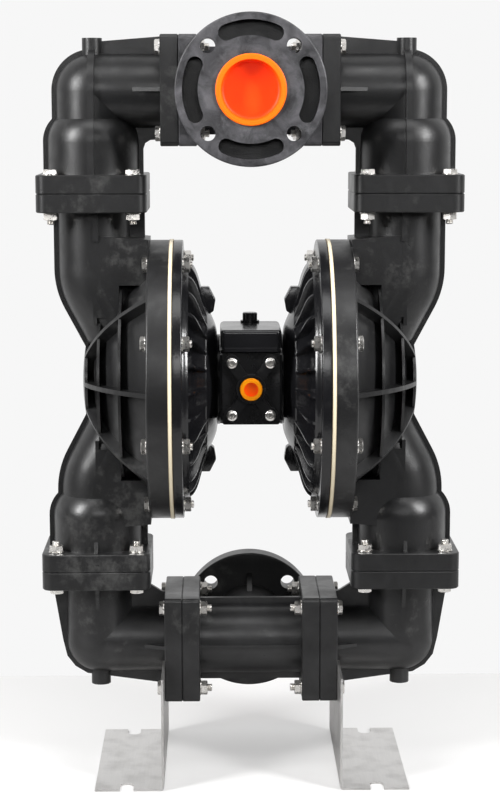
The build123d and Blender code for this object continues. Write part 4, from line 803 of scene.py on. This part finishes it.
def plug_finish(name, height, ring, dish, dish_radius):
    """Orange plastic for a plug at one height, with the colours of its ring and of its deeper dish."""
    finish, tree, shader = new_finish(
        name,
        Roughness=0.45,
        Specular_IOR_Level=0.2,
        Subsurface_Weight=0.12,
        Subsurface_Radius=(0.006, 0.002, 0.001),
    )
    place = add_node(tree, "ShaderNodeTexCoord")
    middle = add_node(tree, "ShaderNodeMapping", {"Location": (0, 0, -height), "Scale": (1, 0, 1)})
    radius = add_node(tree, "ShaderNodeVectorMath", operation="LENGTH")
    edge = add_node(
        tree, "ShaderNodeMapRange", {"From Min": dish_radius * 0.94, "From Max": dish_radius * 1.02}
    )
    plug_cloud = add_node(tree, "ShaderNodeTexNoise", {"Scale": 30, "Detail": 4})
    deeper = add_node(tree, "ShaderNodeMix", data_type="RGBA")
    deeper.inputs["A"].default_value = (*dish, 1)
    deeper.inputs["B"].default_value = (dish[0], dish[1] * 1.35, dish[2], 1)
    plug_tone = add_node(tree, "ShaderNodeMix", data_type="RGBA")
    plug_tone.inputs["B"].default_value = (*ring, 1)
    rings = add_node(
        tree,
        "ShaderNodeTexWave",
        {"Scale": 130, "Distortion": 0.3},
        wave_type="RINGS",
        rings_direction="Y",
    )
    bump = add_node(tree, "ShaderNodeBump", {"Distance": 0.00004})
    connect(
        tree,
        (place, "Object", middle, "Vector"),
        (place, "Object", plug_cloud, "Vector"),
        (middle, "Vector", radius, 0),
        (middle, "Vector", rings, "Vector"),
        (radius, "Value", edge, "Value"),
        (plug_cloud, "Fac", deeper, "Factor"),
        (deeper, "Result", plug_tone, "A"),
        (edge, "Result", plug_tone, "Factor"),
        (plug_tone, "Result", shader, "Base Color"),
        (rings, "Fac", bump, "Height"),
        (bump, "Normal", shader, "Normal"),
    )
    return finish


outlet_plastic = plug_finish("outlet_plug_plastic", OUTLET_Z, PLUG_RING, PLUG_DISH, PLUG_DISH_R)
inlet_plastic = plug_finish("inlet_plug_plastic", INLET_Z, PLUG_RING, PLUG_DISH, PLUG_DISH_R)
air_plastic = plug_finish("air_plug_plastic", CHAMBER_Z, AIR_PLUG_RING, AIR_PLUG_DISH, AIR_PLUG_DISH_R)
paint(outlet_plastic, "orange_plastic", "outlet_plug")
paint(inlet_plastic, "orange_plastic", "inlet_plug")
paint(air_plastic, "orange_plastic", "air_inlet_plug")

# Floor and wall
# A plain pale studio: a floor that takes soft shadows, and a white wall behind the pump that is seen from
# its front alone. The floor is lifted for the camera alone, so it throws no more light on the pump.
FLOOR_SIZE, FLOOR_MIDDLE_Y, FLOOR_LIFT = (6, 2, 1), 0.1, 0.36
WALL_SIZE, WALL_Y, WALL_WHITE = 6, 0.406, (0.93, 0.93, 0.93)

floor_finish, floor_tree, floor_shader = new_finish(
    "floor",
    Base_Color=(0.42, 0.417, 0.415, 1),
    Roughness=0.6,
    Emission_Color=(1, 0.995, 0.99, 1),
)
floor_sight = add_node(floor_tree, "ShaderNodeLightPath")
floor_lift = add_node(floor_tree, "ShaderNodeMath", {1: FLOOR_LIFT}, operation="MULTIPLY")
connect(
    floor_tree,
    (floor_sight, "Is Camera Ray", floor_lift, 0),
    (floor_lift, "Value", floor_shader, "Emission Strength"),
)
bpy.ops.object.select_all(action="DESELECT")
bpy.ops.mesh.primitive_plane_add(size=1, location=(0, FLOOR_MIDDLE_Y, 0))
floor = bpy.context.object
floor.name = "floor"
floor.scale = FLOOR_SIZE
bpy.ops.object.transform_apply()
floor.data.materials.append(floor_finish)

wall_finish = bpy.data.materials.new("wall")
wall_finish.use_nodes = True
wall_tree = wall_finish.node_tree
wall_tree.nodes.clear()
wall_out = add_node(wall_tree, "ShaderNodeOutputMaterial")
wall_glow = add_node(wall_tree, "ShaderNodeEmission", {"Color": (*WALL_WHITE, 1)})
wall_clear = add_node(wall_tree, "ShaderNodeBsdfTransparent")
wall_side = add_node(wall_tree, "ShaderNodeNewGeometry")
wall_mix = add_node(wall_tree, "ShaderNodeMixShader")
connect(
    wall_tree,
    (wall_side, "Backfacing", wall_mix, "Fac"),
    (wall_glow, "Emission", wall_mix, 1),
    (wall_clear, "BSDF", wall_mix, 2),
    (wall_mix, "Shader", wall_out, "Surface"),
)
bpy.ops.object.select_all(action="DESELECT")
bpy.ops.mesh.primitive_plane_add(
    size=WALL_SIZE, location=(0, WALL_Y, WALL_SIZE / 2), rotation=(pi / 2, 0, 0)
)
wall = bpy.context.object
wall.name = "wall"
bpy.ops.object.transform_apply(location=True, rotation=True, scale=True)
wall.data.materials.append(wall_finish)

# Lights
# Two tall soft boxes stand before the pump at its left and right, one hangs above and a weak one stands in
# front, in a dim room.
ROOM_GREY = (0.04, 0.04, 0.04)


def softbox(name, place, aim_height, size, power):
    """A soft rectangular lamp that faces the pump at one height."""
    lamp_data = bpy.data.lights.new(name, "AREA")
    lamp_data.shape = "RECTANGLE"
    lamp_data.size, lamp_data.size_y = size
    lamp_data.energy = power
    lamp = bpy.data.objects.new(name, lamp_data)
    bpy.context.scene.collection.objects.link(lamp)
    lamp.location = place
    aim = Vector((0, 0, aim_height)) - Vector(place)
    lamp.rotation_euler = aim.to_track_quat("-Z", "Y").to_euler()


softbox("left_box", (-1.9, -1.3, 1.7), 0.8, (0.5, 1.4), 88)
softbox("right_box", (1.9, -1.5, 1.8), 0.8, (0.5, 1.4), 88)
softbox("top_box", (0, -0.9, 2.6), 0.6, (2.2, 0.8), 20)
softbox("front_box", (0, -3.0, 1.6), 0.9, (1.6, 0.6), 16)
world = bpy.data.worlds.new("studio")
bpy.context.scene.world = world
world.use_nodes = True
world_tree = world.node_tree
room = world_tree.nodes["Background"]
room.inputs["Color"].default_value = (*ROOM_GREY, 1)
backdrop = add_node(world_tree, "ShaderNodeBackground", {"Color": (*WALL_WHITE, 1)})
seen = add_node(world_tree, "ShaderNodeLightPath")
world_mix = add_node(world_tree, "ShaderNodeMixShader")
connect(
    world_tree,
    (seen, "Is Camera Ray", world_mix, "Fac"),
    (room, "Background", world_mix, 1),
    (backdrop, "Background", world_mix, 2),
    (world_mix, "Shader", world_tree.nodes["World Output"], "Surface"),
)

# Camera
# It stands in front of the pump, just under the height of the outlet port, and looks down by nine degrees.
FRAME_HEIGHT = 805
FOCAL_PIXELS = 2020.7
CENTRE_ROW = 440.0
CAMERA_PLACE = (-0.0405, -2.6737, 0.8797)
CAMERA_DOWN, CAMERA_ROLL, CAMERA_RIGHT = 9.31, 0.08, 0.88  # in degrees

camera_data = bpy.data.cameras.new("camera")
camera_data.sensor_width = 36.0
camera_data.lens = FOCAL_PIXELS / FRAME_HEIGHT * camera_data.sensor_width
camera_data.shift_y = (CENTRE_ROW - FRAME_HEIGHT / 2) / FRAME_HEIGHT
camera = bpy.data.objects.new("camera", camera_data)
bpy.context.scene.collection.objects.link(camera)
camera.location = CAMERA_PLACE
camera.rotation_euler = Euler(
    (radians(90 - CAMERA_DOWN), radians(CAMERA_ROLL), radians(-CAMERA_RIGHT))
)
bpy.context.scene.camera = camera
bpy.context.scene.view_settings.view_transform = "Standard"
